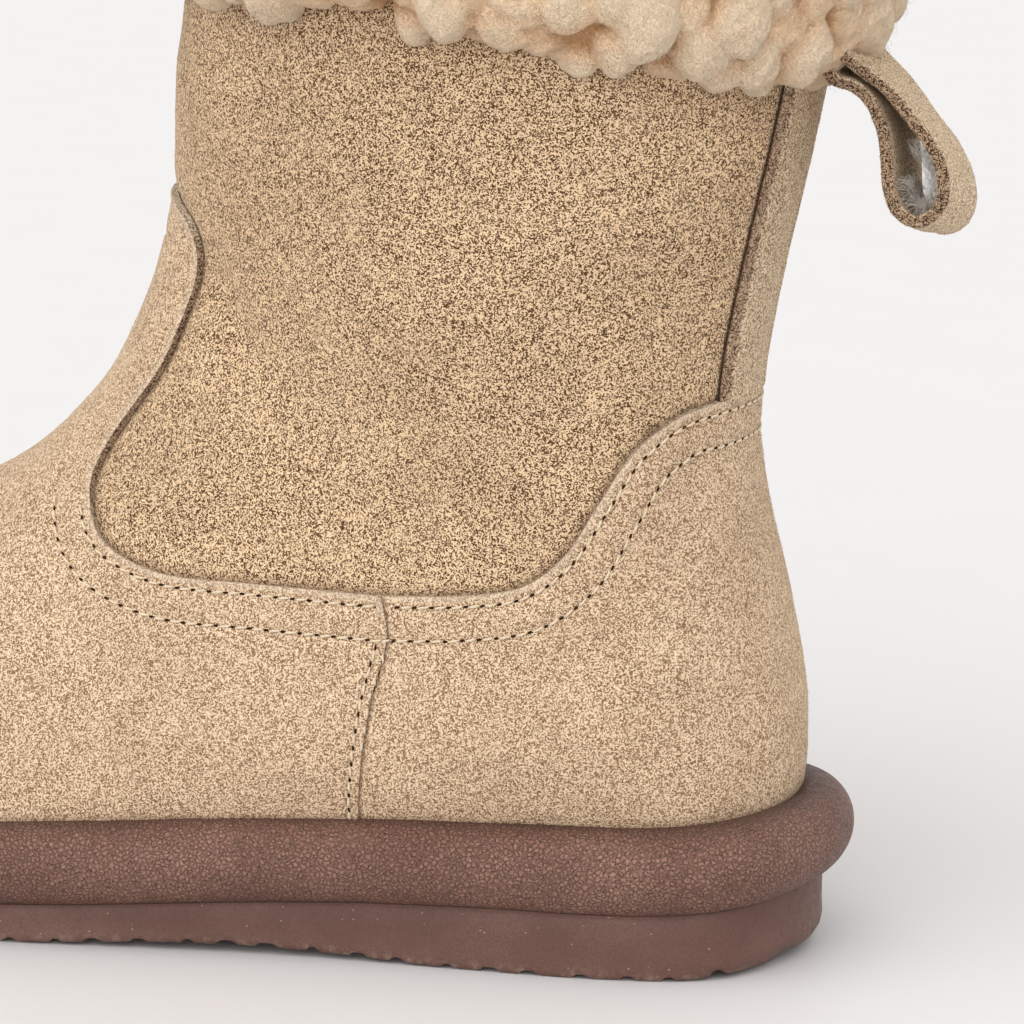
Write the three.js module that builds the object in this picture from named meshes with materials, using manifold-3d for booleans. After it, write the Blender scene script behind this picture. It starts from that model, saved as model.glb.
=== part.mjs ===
// Sheepskin ankle boot for the left foot: suede upper with a fleece lining, a folded fleece cuff,
// a strap to pull it on by, and a rubber outsole under a midsole whose rim is a soft rolled edge.
// Millimetres. +X runs to the toe, +Y to the outer side of the foot, +Z up. The origin is on the
// floor at the middle of the heel's flat spot.
import * as THREE from 'three';
import { mergeVertices } from 'three/addons/utils/BufferGeometryUtils.js';
import Module from 'manifold-3d';

const wasm = await Module();
wasm.setup();

// ---- Driving dimensions -------------------------------------------------------------------
const LENGTH = 272;            // X unit: near the back of the roll to the toe of the upper
const BALL_WIDTH = 91;         // upper across the ball of the foot
const INSTEP_HEIGHT = 101.5;   // top of the instep above the floor, the vamp's suede counted
const WALL = 7;                // suede with the trimmed pile behind it
const GAP = 0.3;               // between pieces that touch
const PANEL = 1.3;             // suede of an overlaid panel

const HEEL_JOINT = 12.6;       // outsole's top above the floor, under the heel
const FORE_JOINT = 6.3;        // the same under the ball
const ROLL_HEIGHT = 18;        // midsole's rolled rim, bottom to top
const ROLL_WIDTH = 17;
const ROLL_MIDDLE = 1.3;       // centre line of the roll outside the foot outline
const OUTSOLE_EDGE = 3.5;      // outsole's wall outside the foot outline
const FLOOR_RISE = 9.4;        // midsole's floor above the joint
const INSOLE = 4;
const TOE_SPRING = { rise: 8, from: 212, over: 70 };
const HEEL_KICK = { rise: 3, from: 30, over: 34 };     // lift of the outsole behind the heel
const HEEL_LIFT = { rise: 3.2, from: 44, over: 44 };   // and of the joint above it
const ARCH = { rise: 1.8, from: 62, over: 110 };
const JOINT_SLOPE = { from: 55, to: 200 };
const HEEL_REST_X = 46;        // middle of the heel's flat spot
const FORE_REST_X = 192;       // middle of the ball's flat spot
const REST_RADIUS = 13;

const CUFF_PROUD = 14.5;       // fleece outside the suede
const CUFF_INSIDE = 10;        // and inside it, above the upper's rim
const CUFF_FOOT = { back: 173, front: 188 };
const CUFF_TOP = { back: 228, front: 236 };
const STRIP_HALF = 14.5;       // half the width of the strip up the back
const STRIP = { bottom: 113.9, top: 194 };
const STRAP_WIDTH = 28;
const STRAP = 2.5;             // thickness of the pull strap
const STRAP_TOP = 191;
const STRAP_SAG = 4.4;         // how much lower the strap's inner edge hangs than its outer one
const BEYOND = 30;             // far enough outside the boot for a cutting solid

// ---- The last -----------------------------------------------------------------------------
// Closed sections fan out from the toe, along the foot and up the shaft. Each one runs from a
// point under the foot or behind the heel (backX, backZ) to one on the top or front edge
// (frontX, frontZ). X is in hundredths of LENGTH, Z of INSTEP_HEIGHT, the half widths (outer,
// inner) of BALL_WIDTH. widest is how far along the section it is widest, and low and high
// are how square its two halves are.
const COLUMNS = ['backX', 'backZ', 'frontX', 'frontZ', 'outer', 'inner', 'widest', 'low', 'high'];
const SECTIONS = [
  [100.0, 14.8, 100.0, 59.1, 45.1, 46.2, 0.34, 4.0, 2.2],   // toe tip, before its rounding
  [91.9, 9.9, 91.5, 66.0, 48.4, 48.4, 0.34, 4.0, 2.2],      // toe
  [83.1, 7.9, 82.7, 72.4, 51.1, 49.5, 0.33, 4.0, 2.1],
  [74.3, 7.9, 73.9, 79.3, 52.2, 47.8, 0.32, 4.0, 2.0],      // ball
  [64.7, 8.9, 65.4, 88.7, 50.5, 43.4, 0.31, 4.0, 2.0],      // waist
  [53.7, 10.8, 60.1, 98.7, 47.3, 39.0, 0.32, 3.6, 2.0],    // instep
  [42.3, 13.8, 56.1, 112.1, 45.1, 38.8, 0.34, 3.2, 2.0],
  [30.5, 15.8, 53.4, 125.2, 44.0, 41.0, 0.36, 2.9, 2.1],
  [17.6, 15.8, 51.9, 136.4, 42.9, 42.3, 0.38, 2.6, 2.1],
  [6.2, 21.7, 51.3, 145.8, 42.3, 42.3, 0.40, 2.5, 2.1],     // heel seat
  [4.1, 44.3, 51.4, 153.7, 43.4, 43.4, 0.42, 2.3, 2.2],     // back of the heel
  [5.6, 69.0, 51.2, 160.6, 45.6, 45.6, 0.44, 2.2, 2.2],
  [7.5, 91.6, 50.9, 167.5, 47.8, 47.8, 0.46, 2.2, 2.2],
  [7.7, 112.3, 50.6, 174.4, 50.0, 50.0, 0.48, 2.1, 2.2],    // ankle
  [6.3, 134.0, 50.0, 182.8, 52.2, 52.2, 0.50, 2.1, 2.2],
  [4.4, 157.6, 49.5, 192.6, 54.4, 54.4, 0.50, 2.1, 2.2],
  [2.6, 181.3, 49.2, 203.0, 56.0, 56.0, 0.50, 2.1, 2.2],
  [1.0, 204.9, 48.9, 214.8, 57.1, 57.1, 0.50, 2.1, 2.2],    // the upper's rim
  [-0.6, 228.6, 48.6, 232.5, 57.7, 57.7, 0.50, 2.1, 2.2],   // top of the cuff
];
const UNIT = {
  backX: LENGTH / 100, backZ: INSTEP_HEIGHT / 100, frontX: LENGTH / 100,
  frontZ: INSTEP_HEIGHT / 100, outer: BALL_WIDTH / 100, inner: BALL_WIDTH / 100,
};
const RIM_ROW = SECTIONS.length - 2;
const TOP_ROW = SECTIONS.length - 1;
const HEEL_ROW = 9;
const TOE_ROUND_FROM = 228;    // the toe rounds off from here to its tip
const TOE_POWER = 2.3;
const TOE_POLE = 0.3;          // height of the tip within the toe section
const TOE_ROWS = 2;            // rows with closer rings, for the rounding of the toe
const TOE_RINGS = 7;
const SLOPE_STEP = 0.05;       // rows to each side when a column's direction is measured
const INSIDE = { along: 19, around: 24 };   // the inner wall is smoother, so it has fewer facets

// Smooth curve through a column of the table, straight on past both ends.
function columnAt(column, row) {
  const values = SECTIONS.map((section) => section[COLUMNS.indexOf(column)] * (UNIT[column] ?? 1));
  const last = values.length - 1;
  const at = (i) => {
    if (i < 0) return 2 * values[0] - values[1];
    if (i > last) return 2 * values[last] - values[last - 1];
    return values[i];
  };
  if (row < 0) return values[0] + row * (values[1] - values[0]);
  const i = Math.min(Math.floor(row), last - 1);
  const f = row - i;
  const [a, b, c, d] = [at(i - 1), at(i), at(i + 1), at(i + 2)];
  return 0.5 * (2 * b + (c - a) * f + (2 * a - 5 * b + 4 * c - d) * f ** 2
    + (3 * b - a - 3 * c + d) * f ** 3);
}

// One section of the last moved inwards by inset (outwards where it is negative).
function sectionAt(row, inset) {
  const q = Object.fromEntries(COLUMNS.map((column) => [column, columnAt(column, row)]));
  const slope = (column) => (
    columnAt(column, row + SLOPE_STEP) - columnAt(column, row - SLOPE_STEP));
  const back = { x: slope('backX'), z: slope('backZ') };
  const front = { x: slope('frontX'), z: slope('frontZ') };
  const heel = THREE.MathUtils.clamp((row - HEEL_ROW + 2) / 2, 0, 1);
  q.backX += inset * heel * Math.max(0, back.z) / Math.hypot(back.x, back.z);
  q.frontX -= inset * front.z / Math.hypot(front.x, front.z);
  q.frontZ += inset * front.x / Math.hypot(front.x, front.z);
  q.outer -= inset;
  q.inner -= inset;
  return q;
}

// Points round one section, from its back point by the outer side to its front point and on.
function sectionRing(row, inset, around) {
  const q = sectionAt(row, inset);
  const tip = LENGTH - inset;
  const toe = THREE.MathUtils.clamp(
    (columnAt('backX', row) - TOE_ROUND_FROM) / (tip - TOE_ROUND_FROM), 0, 1);
  const round = (1 - toe ** TOE_POWER) ** (1 / TOE_POWER);
  const points = [];
  for (let k = 0; k < around; k += 1) {
    const turn = 2 * Math.PI * k / around;
    const power = Math.cos(turn) > 0 ? q.low : q.high;
    const along = Math.sign(Math.cos(turn)) * Math.abs(Math.cos(turn)) ** (2 / power);
    const across = Math.sign(Math.sin(turn)) * Math.abs(Math.sin(turn)) ** (2 / power);
    const plain = along > 0 ? q.widest * (1 - along) : q.widest - (1 - q.widest) * along;
    const share = TOE_POLE + (plain - TOE_POLE) * round;
    points.push([
      q.backX + (q.frontX - q.backX) * share,
      (across > 0 ? q.outer : q.inner) * across * round,
      q.backZ + (q.frontZ - q.backZ) * share,
    ]);
  }
  return points;
}

// ---- Solids from rings --------------------------------------------------------------------
function volumeOf(positions, index) {
  let volume = 0;
  for (let t = 0; t < index.length; t += 3) {
    const [a, b, c] = [0, 1, 2].map((k) => new THREE.Vector3(...positions[index[t + k]]));
    volume += a.dot(b.cross(c));
  }
  return volume;
}

// Closed skin over a stack of rings with equal counts. A ring of one point is a pole; an end
// ring with more is closed by strips between points that mirror each other.
function skin(rings) {
  const positions = rings.flat();
  const starts = rings.map((_, i) => rings.slice(0, i).reduce((sum, ring) => sum + ring.length, 0));
  const around = Math.max(...rings.map((ring) => ring.length));
  const point = (i, k) => starts[i] + (rings[i].length === 1 ? 0 : k % around);
  const index = [];
  const triangle = (a, b, c) => {
    if (a !== b && b !== c && c !== a) index.push(a, b, c);
  };
  for (let i = 0; i + 1 < rings.length; i += 1) {
    for (let k = 0; k < around; k += 1) {
      triangle(point(i, k), point(i, k + 1), point(i + 1, k + 1));
      triangle(point(i, k), point(i + 1, k + 1), point(i + 1, k));
    }
  }
  for (const [i, flip] of [[0, true], [rings.length - 1, false]]) {
    if (rings[i].length === 1) continue;
    for (let k = 0; k < around / 2; k += 1) {
      const [a, b] = [point(i, k), point(i, k + 1)];
      const [c, d] = [point(i, around - k - 1), point(i, around - k)];
      const quad = flip ? [[a, c, b], [a, d, c]] : [[a, b, c], [a, c, d]];
      quad.forEach((corners) => triangle(...corners));
    }
  }
  if (volumeOf(positions, index) < 0) index.reverse();
  const geometry = new THREE.BufferGeometry();
  geometry.setAttribute('position', new THREE.Float32BufferAttribute(positions.flat(), 3));
  geometry.setIndex(index);
  return solidOf(geometry);
}

function solidOf(geometry) {
  geometry.deleteAttribute('normal');
  geometry.deleteAttribute('uv');
  const merged = mergeVertices(geometry);
  return new wasm.Manifold(new wasm.Mesh({
    numProp: 3,
    vertProperties: merged.attributes.position.array,
    triVerts: new Uint32Array(merged.index.array),
  }));
}

// The last as a closed form, from its toe to a row of the table.
function lastForm({ inset = 0, top = RIM_ROW, along = 21, around = 28 }) {
  const tipRow = inset * 100 / LENGTH / (SECTIONS[0][0] - SECTIONS[1][0]);
  const rings = [[sectionRing(tipRow, inset, around)[0]]];
  for (let i = 1; i <= TOE_RINGS; i += 1) {
    const share = 1 - Math.cos(0.5 * Math.PI * i / TOE_RINGS);
    rings.push(sectionRing(tipRow + (TOE_ROWS - tipRow) * share, inset, around));
  }
  for (let i = 1; i <= along; i += 1) {
    rings.push(sectionRing(TOE_ROWS + (top - TOE_ROWS) * i / along, inset, around));
  }
  return skin(rings);
}

// A prism along Y through an outline of [x, z] points. Hang gives a rise for each x and y.
function prismAcross(outline, fromY, toY, hang = () => 0) {
  const shape = new THREE.Shape(outline.map(([x, z]) => new THREE.Vector2(x, z)));
  const geometry = new THREE.ExtrudeGeometry(shape, { depth: toY - fromY, bevelEnabled: false });
  geometry.rotateX(Math.PI / 2);
  geometry.translate(0, toY, 0);
  const at = geometry.attributes.position;
  for (let i = 0; i < at.count; i += 1) at.setZ(i, at.getZ(i) + hang(at.getX(i), at.getY(i)));
  return solidOf(geometry);
}

// A prism along Z through an outline of [x, y] points.
function prismUp(outline, fromZ, toZ) {
  const shape = new THREE.Shape(outline.map(([x, y]) => new THREE.Vector2(x, y)));
  const geometry = new THREE.ExtrudeGeometry(shape, { depth: toZ - fromZ, bevelEnabled: false });
  geometry.translate(0, 0, fromZ);
  return solidOf(geometry);
}

// Points on a smooth curve through hand-placed [x, z] points.
function curveThrough(points, steps) {
  const curve = new THREE.CatmullRomCurve3(
    points.map(([x, z]) => new THREE.Vector3(x, 0, z)), false, 'centripetal');
  return curve.getPoints(steps).map((p) => [p.x, p.z]);
}

// The outline of a band of even thickness along a curve of [x, z] points.
function bandAlong(points, thickness) {
  const sides = [[], []];
  points.forEach((point, i) => {
    const before = points[Math.max(i - 1, 0)];
    const after = points[Math.min(i + 1, points.length - 1)];
    const [dx, dz] = [after[0] - before[0], after[1] - before[1]];
    const half = thickness / 2 / Math.hypot(dx, dz);
    sides[0].push([point[0] - dz * half, point[1] + dx * half]);
    sides[1].push([point[0] + dz * half, point[1] - dx * half]);
  });
  return [...sides[0], ...sides[1].reverse()];
}

// ---- Sole heights and outline ---------------------------------------------------------------
const ease = (x, from, to) => THREE.MathUtils.smoothstep(x, from, to);
const portion = (distance, over) => THREE.MathUtils.clamp(distance / over, 0, 1);
const toeSpring = (x) => TOE_SPRING.rise * portion(x - TOE_SPRING.from, TOE_SPRING.over) ** 2;
const towardsHeel = (x, { rise, from, over }) => rise * portion(from - x, over) ** 2;
const joint = (x) => {
  const slope = ease(x, JOINT_SLOPE.from, JOINT_SLOPE.to);
  const level = THREE.MathUtils.lerp(HEEL_JOINT, FORE_JOINT, slope);
  return level + toeSpring(x) + towardsHeel(x, HEEL_LIFT);
};
const ground = (x) => {
  const arch = ARCH.rise * Math.sin(Math.PI * portion(x - ARCH.from, ARCH.over)) ** 2;
  return toeSpring(x) + towardsHeel(x, HEEL_KICK) + arch;
};
const trayFloor = (x) => joint(x) + FLOOR_RISE;

// Half widths of the foot outline that the sole is cut to, heel to toe.
const FOOT_HEEL_X = 9;
const FOOT_TOE = { x: 272, y: -1 };
const FOOT_PLAN = [
  { x: 18, outer: 22.5, inner: 22.5 },
  { x: 40, outer: 30, inner: 29.5 },
  { x: 70, outer: 32.5, inner: 31 },
  { x: 100, outer: 34.5, inner: 31 },
  { x: 130, outer: 38.5, inner: 32 },
  { x: 160, outer: 43, inner: 35.5 },
  { x: 190, outer: 46, inner: 40.5 },
  { x: 215, outer: 46, inner: 44 },
  { x: 238, outer: 43.5, inner: 43.4 },
  { x: 256, outer: 35, inner: 36 },
  { x: 267, outer: 21.5, inner: 23.5 },
];
const PLAN_STEPS = [4, 3, 2, 2, 2, 2, 2, 2, 2, 3, 3, 4];   // points to each stretch, heel to toe

const planCurve = new THREE.CatmullRomCurve3([
  new THREE.Vector3(FOOT_HEEL_X, 0, 0),
  ...FOOT_PLAN.map(({ x, outer }) => new THREE.Vector3(x, outer, 0)),
  new THREE.Vector3(FOOT_TOE.x, FOOT_TOE.y, 0),
  ...FOOT_PLAN.toReversed().map(({ x, inner }) => new THREE.Vector3(x, -inner, 0)),
], true, 'catmullrom', 0.5);

// The outline moved outwards by grow, at the height that heightAt gives for each x.
function planRing(grow, heightAt) {
  const stretches = 2 * PLAN_STEPS.length;
  const outerSide = PLAN_STEPS.flatMap((steps, stretch) => (
    Array.from({ length: steps }, (_, i) => (stretch + i / steps) / stretches)));
  const innerSide = outerSide.map((share) => 1 - share).slice(1).reverse();
  return [...outerSide, 0.5, ...innerSide].map((share) => {
    const point = planCurve.getPoint(share);
    const tangent = planCurve.getTangent(share);
    const x = point.x - tangent.y * grow;
    const y = point.y + tangent.x * grow;
    return [x, y, heightAt(x)];
  });
}

// Everything below a height, over the whole plan of the boot.
const below = (heightAt) => skin([planRing(BEYOND, () => -BEYOND), planRing(BEYOND, heightAt)]);

// ---- Pieces -----------------------------------------------------------------------------------
function makeOutsole() {
  const bevel = 1;
  const depth = 1.6;
  const width = 2.4;
  const pitch = 9;
  const bow = 5;               // how far a groove's middle lies ahead of its ends
  const reach = 62;            // half the length of a groove
  const firstGroove = 6;
  const restFacets = 24;
  let sole = skin([
    planRing(OUTSOLE_EDGE - bevel, ground),
    planRing(OUTSOLE_EDGE, (x) => ground(x) + bevel),
    planRing(OUTSOLE_EDGE, (x) => joint(x) - GAP / 2),
  ]);
  const rests = [HEEL_REST_X, FORE_REST_X].map((x) => solidOf(
    new THREE.CylinderGeometry(REST_RADIUS, REST_RADIUS, BEYOND, restFacets)
      .rotateX(Math.PI / 2).translate(x, 0, 0)));
  for (let x = firstGroove; x < LENGTH; x += pitch) {
    const line = [];
    for (let y = -reach; y <= reach; y += reach / 2) line.push([x + bow * (1 - (y / reach) ** 2), y]);
    let groove = prismUp(bandAlong(line, width), -depth, ground(x + bow) + depth);
    rests.forEach((rest) => { groove = groove.subtract(rest); });
    sole = sole.subtract(groove);
  }
  return sole;
}

function makeMidsole() {
  const rings = [planRing(OUTSOLE_EDGE - GAP, (x) => joint(x) + GAP / 2)];
  const steps = 7;
  const [lowest, highest] = [-75, 90];   // degrees round the roll's section
  for (let i = 0; i <= steps; i += 1) {
    const angle = THREE.MathUtils.degToRad(lowest + (highest - lowest) * i / steps);
    const out = ROLL_MIDDLE + ROLL_WIDTH / 2 * Math.cos(angle);
    const up = ROLL_HEIGHT / 2 * (1 + Math.sin(angle));
    rings.push(planRing(out, (x) => joint(x) + up + GAP / 2));
  }
  const foot = lastForm({ inset: -GAP }).subtract(below(trayFloor));
  return skin(rings).subtract(foot);
}

function makeInsole() {
  const underside = (x) => trayFloor(x) + GAP;
  const slab = skin([
    planRing(BEYOND, underside),
    planRing(BEYOND, (x) => underside(x) + INSOLE),
  ]);
  return lastForm({ inset: WALL + GAP, top: TOP_ROW, ...INSIDE }).intersect(slab);
}

function makeUpper() {
  return lastForm({})
    .subtract(lastForm({ inset: WALL, top: TOP_ROW, ...INSIDE }))
    .subtract(below((x) => trayFloor(x) + GAP));
}

// Outlines of the overlaid panels from the side, as [x, z].
const VAMP_EDGE = [
  [141, 151], [137, 148.5], [130.5, 144.6], [127.7, 138.5], [129.5, 127.5], [135.5, 114.5],
  [144, 103], [148.6, 92], [145, 82.6], [133, 77], [110, 75.9], [84.5, 75.2],
];
const COUNTER_EDGE = [
  [84.5, 75.2], [68, 76.3], [55, 79], [47, 85.2], [40.8, 95.5], [35, 105.5], [28, 111.4], [18, 113.4],
];
const SIDE_SEAM = [[84.5, 75.2], [83, 68], [86.5, 54], [88.7, 42], [90.5, 30], [91, 10]];
const FAR_AHEAD = 300;
const FAR_BEHIND = -20;
const EDGE_STEPS = 18;

// Suede laid over the upper within a side outline, down to the midsole's roll.
function makePanel(outline) {
  const rollTop = (x) => joint(x) + ROLL_HEIGHT + GAP;
  return lastForm({ inset: -GAP - PANEL })
    .subtract(lastForm({ inset: -GAP }))
    .intersect(prismAcross(outline, -BALL_WIDTH, BALL_WIDTH))
    .subtract(below(rollTop));
}

function makeVamp() {
  const seam = SIDE_SEAM.map(([x, z]) => [x + GAP / 2, z]);
  return makePanel([
    ...curveThrough(VAMP_EDGE, EDGE_STEPS).slice(0, -1),
    ...curveThrough(seam, EDGE_STEPS / 2),
    [FAR_AHEAD, SIDE_SEAM.at(-1)[1]],
    [FAR_AHEAD, VAMP_EDGE[0][1]],
  ]);
}

function makeHeelCounter() {
  const seam = SIDE_SEAM.map(([x, z]) => [x - GAP / 2, z]);
  return makePanel([
    ...curveThrough(seam, EDGE_STEPS / 2).toReversed(),
    ...curveThrough(COUNTER_EDGE, EDGE_STEPS).slice(1),
    [FAR_BEHIND, COUNTER_EDGE.at(-1)[1]],
    [FAR_BEHIND, SIDE_SEAM.at(-1)[1]],
  ]);
}

// The back half of the shaft between two heights, as wide as the strip up the back.
const SHAFT_MIDDLE_X = 70;
const backBox = (half, bottom, top) => prismAcross([
  [FAR_BEHIND, bottom], [SHAFT_MIDDLE_X, bottom], [SHAFT_MIDDLE_X, top], [FAR_BEHIND, top],
], -half, half);

function makeBackStrip() {
  return lastForm({ inset: -GAP - PANEL })
    .subtract(lastForm({ inset: -GAP }))
    .intersect(backBox(STRIP_HALF, STRIP.bottom, STRIP.top));
}

// The row of the table at which a column reaches a value, for the rising edges of the shaft.
const INSTEP_ROW = 5;
const HALVINGS = 40;
function rowWhere(column, value, fromRow) {
  let [low, high] = [fromRow, TOP_ROW + 1];
  for (let i = 0; i < HALVINGS; i += 1) {
    const middle = (low + high) / 2;
    if (columnAt(column, middle) < value) low = middle;
    else high = middle;
  }
  return low;
}
const backRow = (z) => rowWhere('backZ', z, HEEL_ROW);
const frontRow = (z) => rowWhere('frontZ', z, INSTEP_ROW);
const backEdge = (z) => columnAt('backX', backRow(z));
const frontEdge = (z) => columnAt('frontX', frontRow(z));
const halfWidth = (z) => columnAt('outer', (backRow(z) + frontRow(z)) / 2);

// Half of the strap's loop hangs in an outer run, and the rest is an inner run back to its root.
const LOOP_STEPS = 44;
const STRAP_LOOP = [
  [1.5, 180], [-2.4, 178.2], [-7.7, 174.8], [-12.2, 170.2], [-16.5, 164.8], [-19.3, 159],
  [-19.7, 153.6], [-17.6, 150], [-14.3, 148.9], [-11.2, 150.8], [-9.3, 155], [-8.7, 161],
  [-7.9, 166], [-5.7, 171.2], [-2.3, 174.2], [1.5, 174.9],
];

// The strap's two ends, sewn together flat on the back strip: heights of the points of their
// outline, up the face on the strip and down the face behind.
const STRAP_ROOT = { onStrip: [173.4, 182, STRAP_TOP], behind: [STRAP_TOP, 182, 176.5] };
const SAG = { from: 1, to: -14 };   // x over which the loop's inner edge drops

// The strap, grown by a clearance. It hangs lower on the inner side of the foot.
function makePullLoop(grow = 0) {
  const half = STRAP_WIDTH / 2 + grow;
  const ended = (z) => (z === STRAP_TOP ? z + grow : z);
  const flat = (z) => backEdge(z) - 2 * GAP - PANEL;
  const root = [
    ...STRAP_ROOT.onStrip.map((z) => [flat(z) + grow, ended(z)]),
    ...STRAP_ROOT.behind.map((z) => [flat(z) - 2 * STRAP - grow, ended(z)]),
  ];
  const band = bandAlong(curveThrough(STRAP_LOOP, LOOP_STEPS), STRAP + 2 * grow);
  const hang = (x, y) => -STRAP_SAG * (half - y) / (2 * half) * (1 - ease(x, SAG.to, SAG.from));
  return prismAcross(band, -half, half, hang).add(prismAcross(root, -half, half));
}

// Room under the strap's outer run, as [x, z], so that no fleece is caught inside the loop.
const UNDER_STRAP = [
  [9, 160], [9, STRAP_TOP], [-1, STRAP_TOP], [0.6, 181], [-2.4, 178.6], [-7.7, 175], [-16, 160],
];

// Fleece cuff: a fat ring of rounded section over the upper's rim.
function makeCuff() {
  const around = 32;
  const profile = 12;
  const squareness = 2.8;
  const outlinePower = 2.15;
  const middle = (CUFF_PROUD - CUFF_INSIDE) / 2;
  const half = (CUFF_PROUD + CUFF_INSIDE) / 2;
  const power = (value, exponent) => Math.sign(value) * Math.abs(value) ** exponent;
  const rings = [];
  for (let i = 0; i < around; i += 1) {
    const turn = 2 * Math.PI * i / around;
    const [ahead, aside] = [Math.cos(turn), Math.sin(turn)].map((v) => power(v, 2 / outlinePower));
    const tilt = ease(ahead, -1, 0.5);
    const foot = THREE.MathUtils.lerp(CUFF_FOOT.back, CUFF_FOOT.front, tilt);
    const top = THREE.MathUtils.lerp(CUFF_TOP.back, CUFF_TOP.front, tilt);
    const ring = [];
    for (let j = 0; j < profile; j += 1) {
      const angle = 2 * Math.PI * j / profile;
      const z = (foot + top) / 2 + (top - foot) / 2 * power(Math.sin(angle), 2 / squareness);
      const out = middle + half * power(Math.cos(angle), 2 / squareness);
      const long = (frontEdge(z) - backEdge(z)) / 2 + out;
      ring.push([(frontEdge(z) + backEdge(z)) / 2 + long * ahead, (halfWidth(z) + out) * aside, z]);
    }
    rings.push(ring);
  }
  const rimGap = GAP / (SECTIONS[TOP_ROW][1] - SECTIONS[RIM_ROW][1]);   // in rows
  const upperRoom = lastForm({ inset: -GAP, top: RIM_ROW + rimGap });
  const stripRoom = lastForm({ inset: -2 * GAP - PANEL })
    .intersect(backBox(STRIP_HALF + GAP, STRIP.bottom, STRIP.top + GAP));
  const strapHalf = STRAP_WIDTH / 2 + GAP;
  return torus(rings).subtract(upperRoom).subtract(stripRoom)
    .subtract(makePullLoop(GAP)).subtract(prismAcross(UNDER_STRAP, -strapHalf, strapHalf));
}

// Closed skin round a ring of closed sections.
function torus(rings) {
  const around = rings[0].length;
  const index = [];
  rings.forEach((_, i) => {
    const next = (i + 1) % rings.length;
    for (let k = 0; k < around; k += 1) {
      const l = (k + 1) % around;
      index.push(i * around + k, next * around + k, next * around + l);
      index.push(i * around + k, next * around + l, i * around + l);
    }
  });
  const positions = rings.flat();
  if (volumeOf(positions, index) < 0) index.reverse();
  const geometry = new THREE.BufferGeometry();
  geometry.setAttribute('position', new THREE.Float32BufferAttribute(positions.flat(), 3));
  geometry.setIndex(index);
  return solidOf(geometry);
}

// ---- Assembly ---------------------------------------------------------------------------------
const MATERIALS = {
  rubber: { color: 0x6b4c42, roughness: 0.6 },
  roll: { color: 0x73574b, roughness: 0.55 },
  shaft: { color: 0xba9e7a, roughness: 0.95 },
  panel: { color: 0xc8ac84, roughness: 0.95 },
  fleece: { color: 0xe6d6b8, roughness: 1 },
};

function piece(name, material, solid) {
  const { vertProperties, triVerts } = solid.getMesh();
  const geometry = new THREE.BufferGeometry();
  geometry.setAttribute('position', new THREE.BufferAttribute(vertProperties, 3));
  geometry.setIndex(new THREE.BufferAttribute(triVerts, 1));
  geometry.computeVertexNormals();
  const mesh = new THREE.Mesh(
    geometry, new THREE.MeshStandardMaterial({ metalness: 0, ...MATERIALS[material] }));
  mesh.name = name;
  mesh.position.x = -HEEL_REST_X;
  return mesh;
}

const boot = new THREE.Group();
boot.add(
  piece('outsole', 'rubber', makeOutsole()),
  piece('midsole', 'roll', makeMidsole()),
  piece('insole', 'fleece', makeInsole()),
  piece('upper', 'shaft', makeUpper()),
  piece('vamp', 'panel', makeVamp()),
  piece('heel_counter', 'panel', makeHeelCounter()),
  piece('back_strip', 'panel', makeBackStrip()),
  piece('pull_loop', 'panel', makePullLoop()),
  piece('cuff', 'fleece', makeCuff()),
);

export default boot;
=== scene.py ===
"""Sheepskin ankle boot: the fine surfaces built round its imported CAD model.

Shapes are worked out in millimetres in the boot's own frame: x from the back of the sole's roll
to the toe, y to the outer side of the foot, z up. They are moved into the row's frame, in metres,
as each piece is made. The last, the sole and the strap repeat the sizes of the CAD part.
"""
import itertools
import math

import bpy
import numpy as np
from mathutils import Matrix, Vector
from mathutils.kdtree import KDTree


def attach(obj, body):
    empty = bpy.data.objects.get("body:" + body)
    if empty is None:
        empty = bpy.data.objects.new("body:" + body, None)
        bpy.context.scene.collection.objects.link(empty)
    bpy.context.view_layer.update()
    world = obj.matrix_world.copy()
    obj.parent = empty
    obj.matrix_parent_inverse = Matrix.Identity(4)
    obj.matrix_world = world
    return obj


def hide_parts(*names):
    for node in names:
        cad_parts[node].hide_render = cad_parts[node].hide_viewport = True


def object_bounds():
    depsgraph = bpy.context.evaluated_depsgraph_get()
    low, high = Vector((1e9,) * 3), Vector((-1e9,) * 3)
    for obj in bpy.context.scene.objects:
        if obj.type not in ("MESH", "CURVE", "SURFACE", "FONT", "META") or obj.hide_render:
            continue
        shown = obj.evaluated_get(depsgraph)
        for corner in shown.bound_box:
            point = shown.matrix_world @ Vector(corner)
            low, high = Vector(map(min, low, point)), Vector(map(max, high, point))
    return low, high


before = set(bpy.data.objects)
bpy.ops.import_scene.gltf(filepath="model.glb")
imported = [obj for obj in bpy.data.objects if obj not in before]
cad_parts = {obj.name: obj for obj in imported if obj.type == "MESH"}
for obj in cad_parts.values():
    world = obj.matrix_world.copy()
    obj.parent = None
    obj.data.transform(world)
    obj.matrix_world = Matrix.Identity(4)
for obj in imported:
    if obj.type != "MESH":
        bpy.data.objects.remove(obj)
CAD_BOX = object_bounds()


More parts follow.
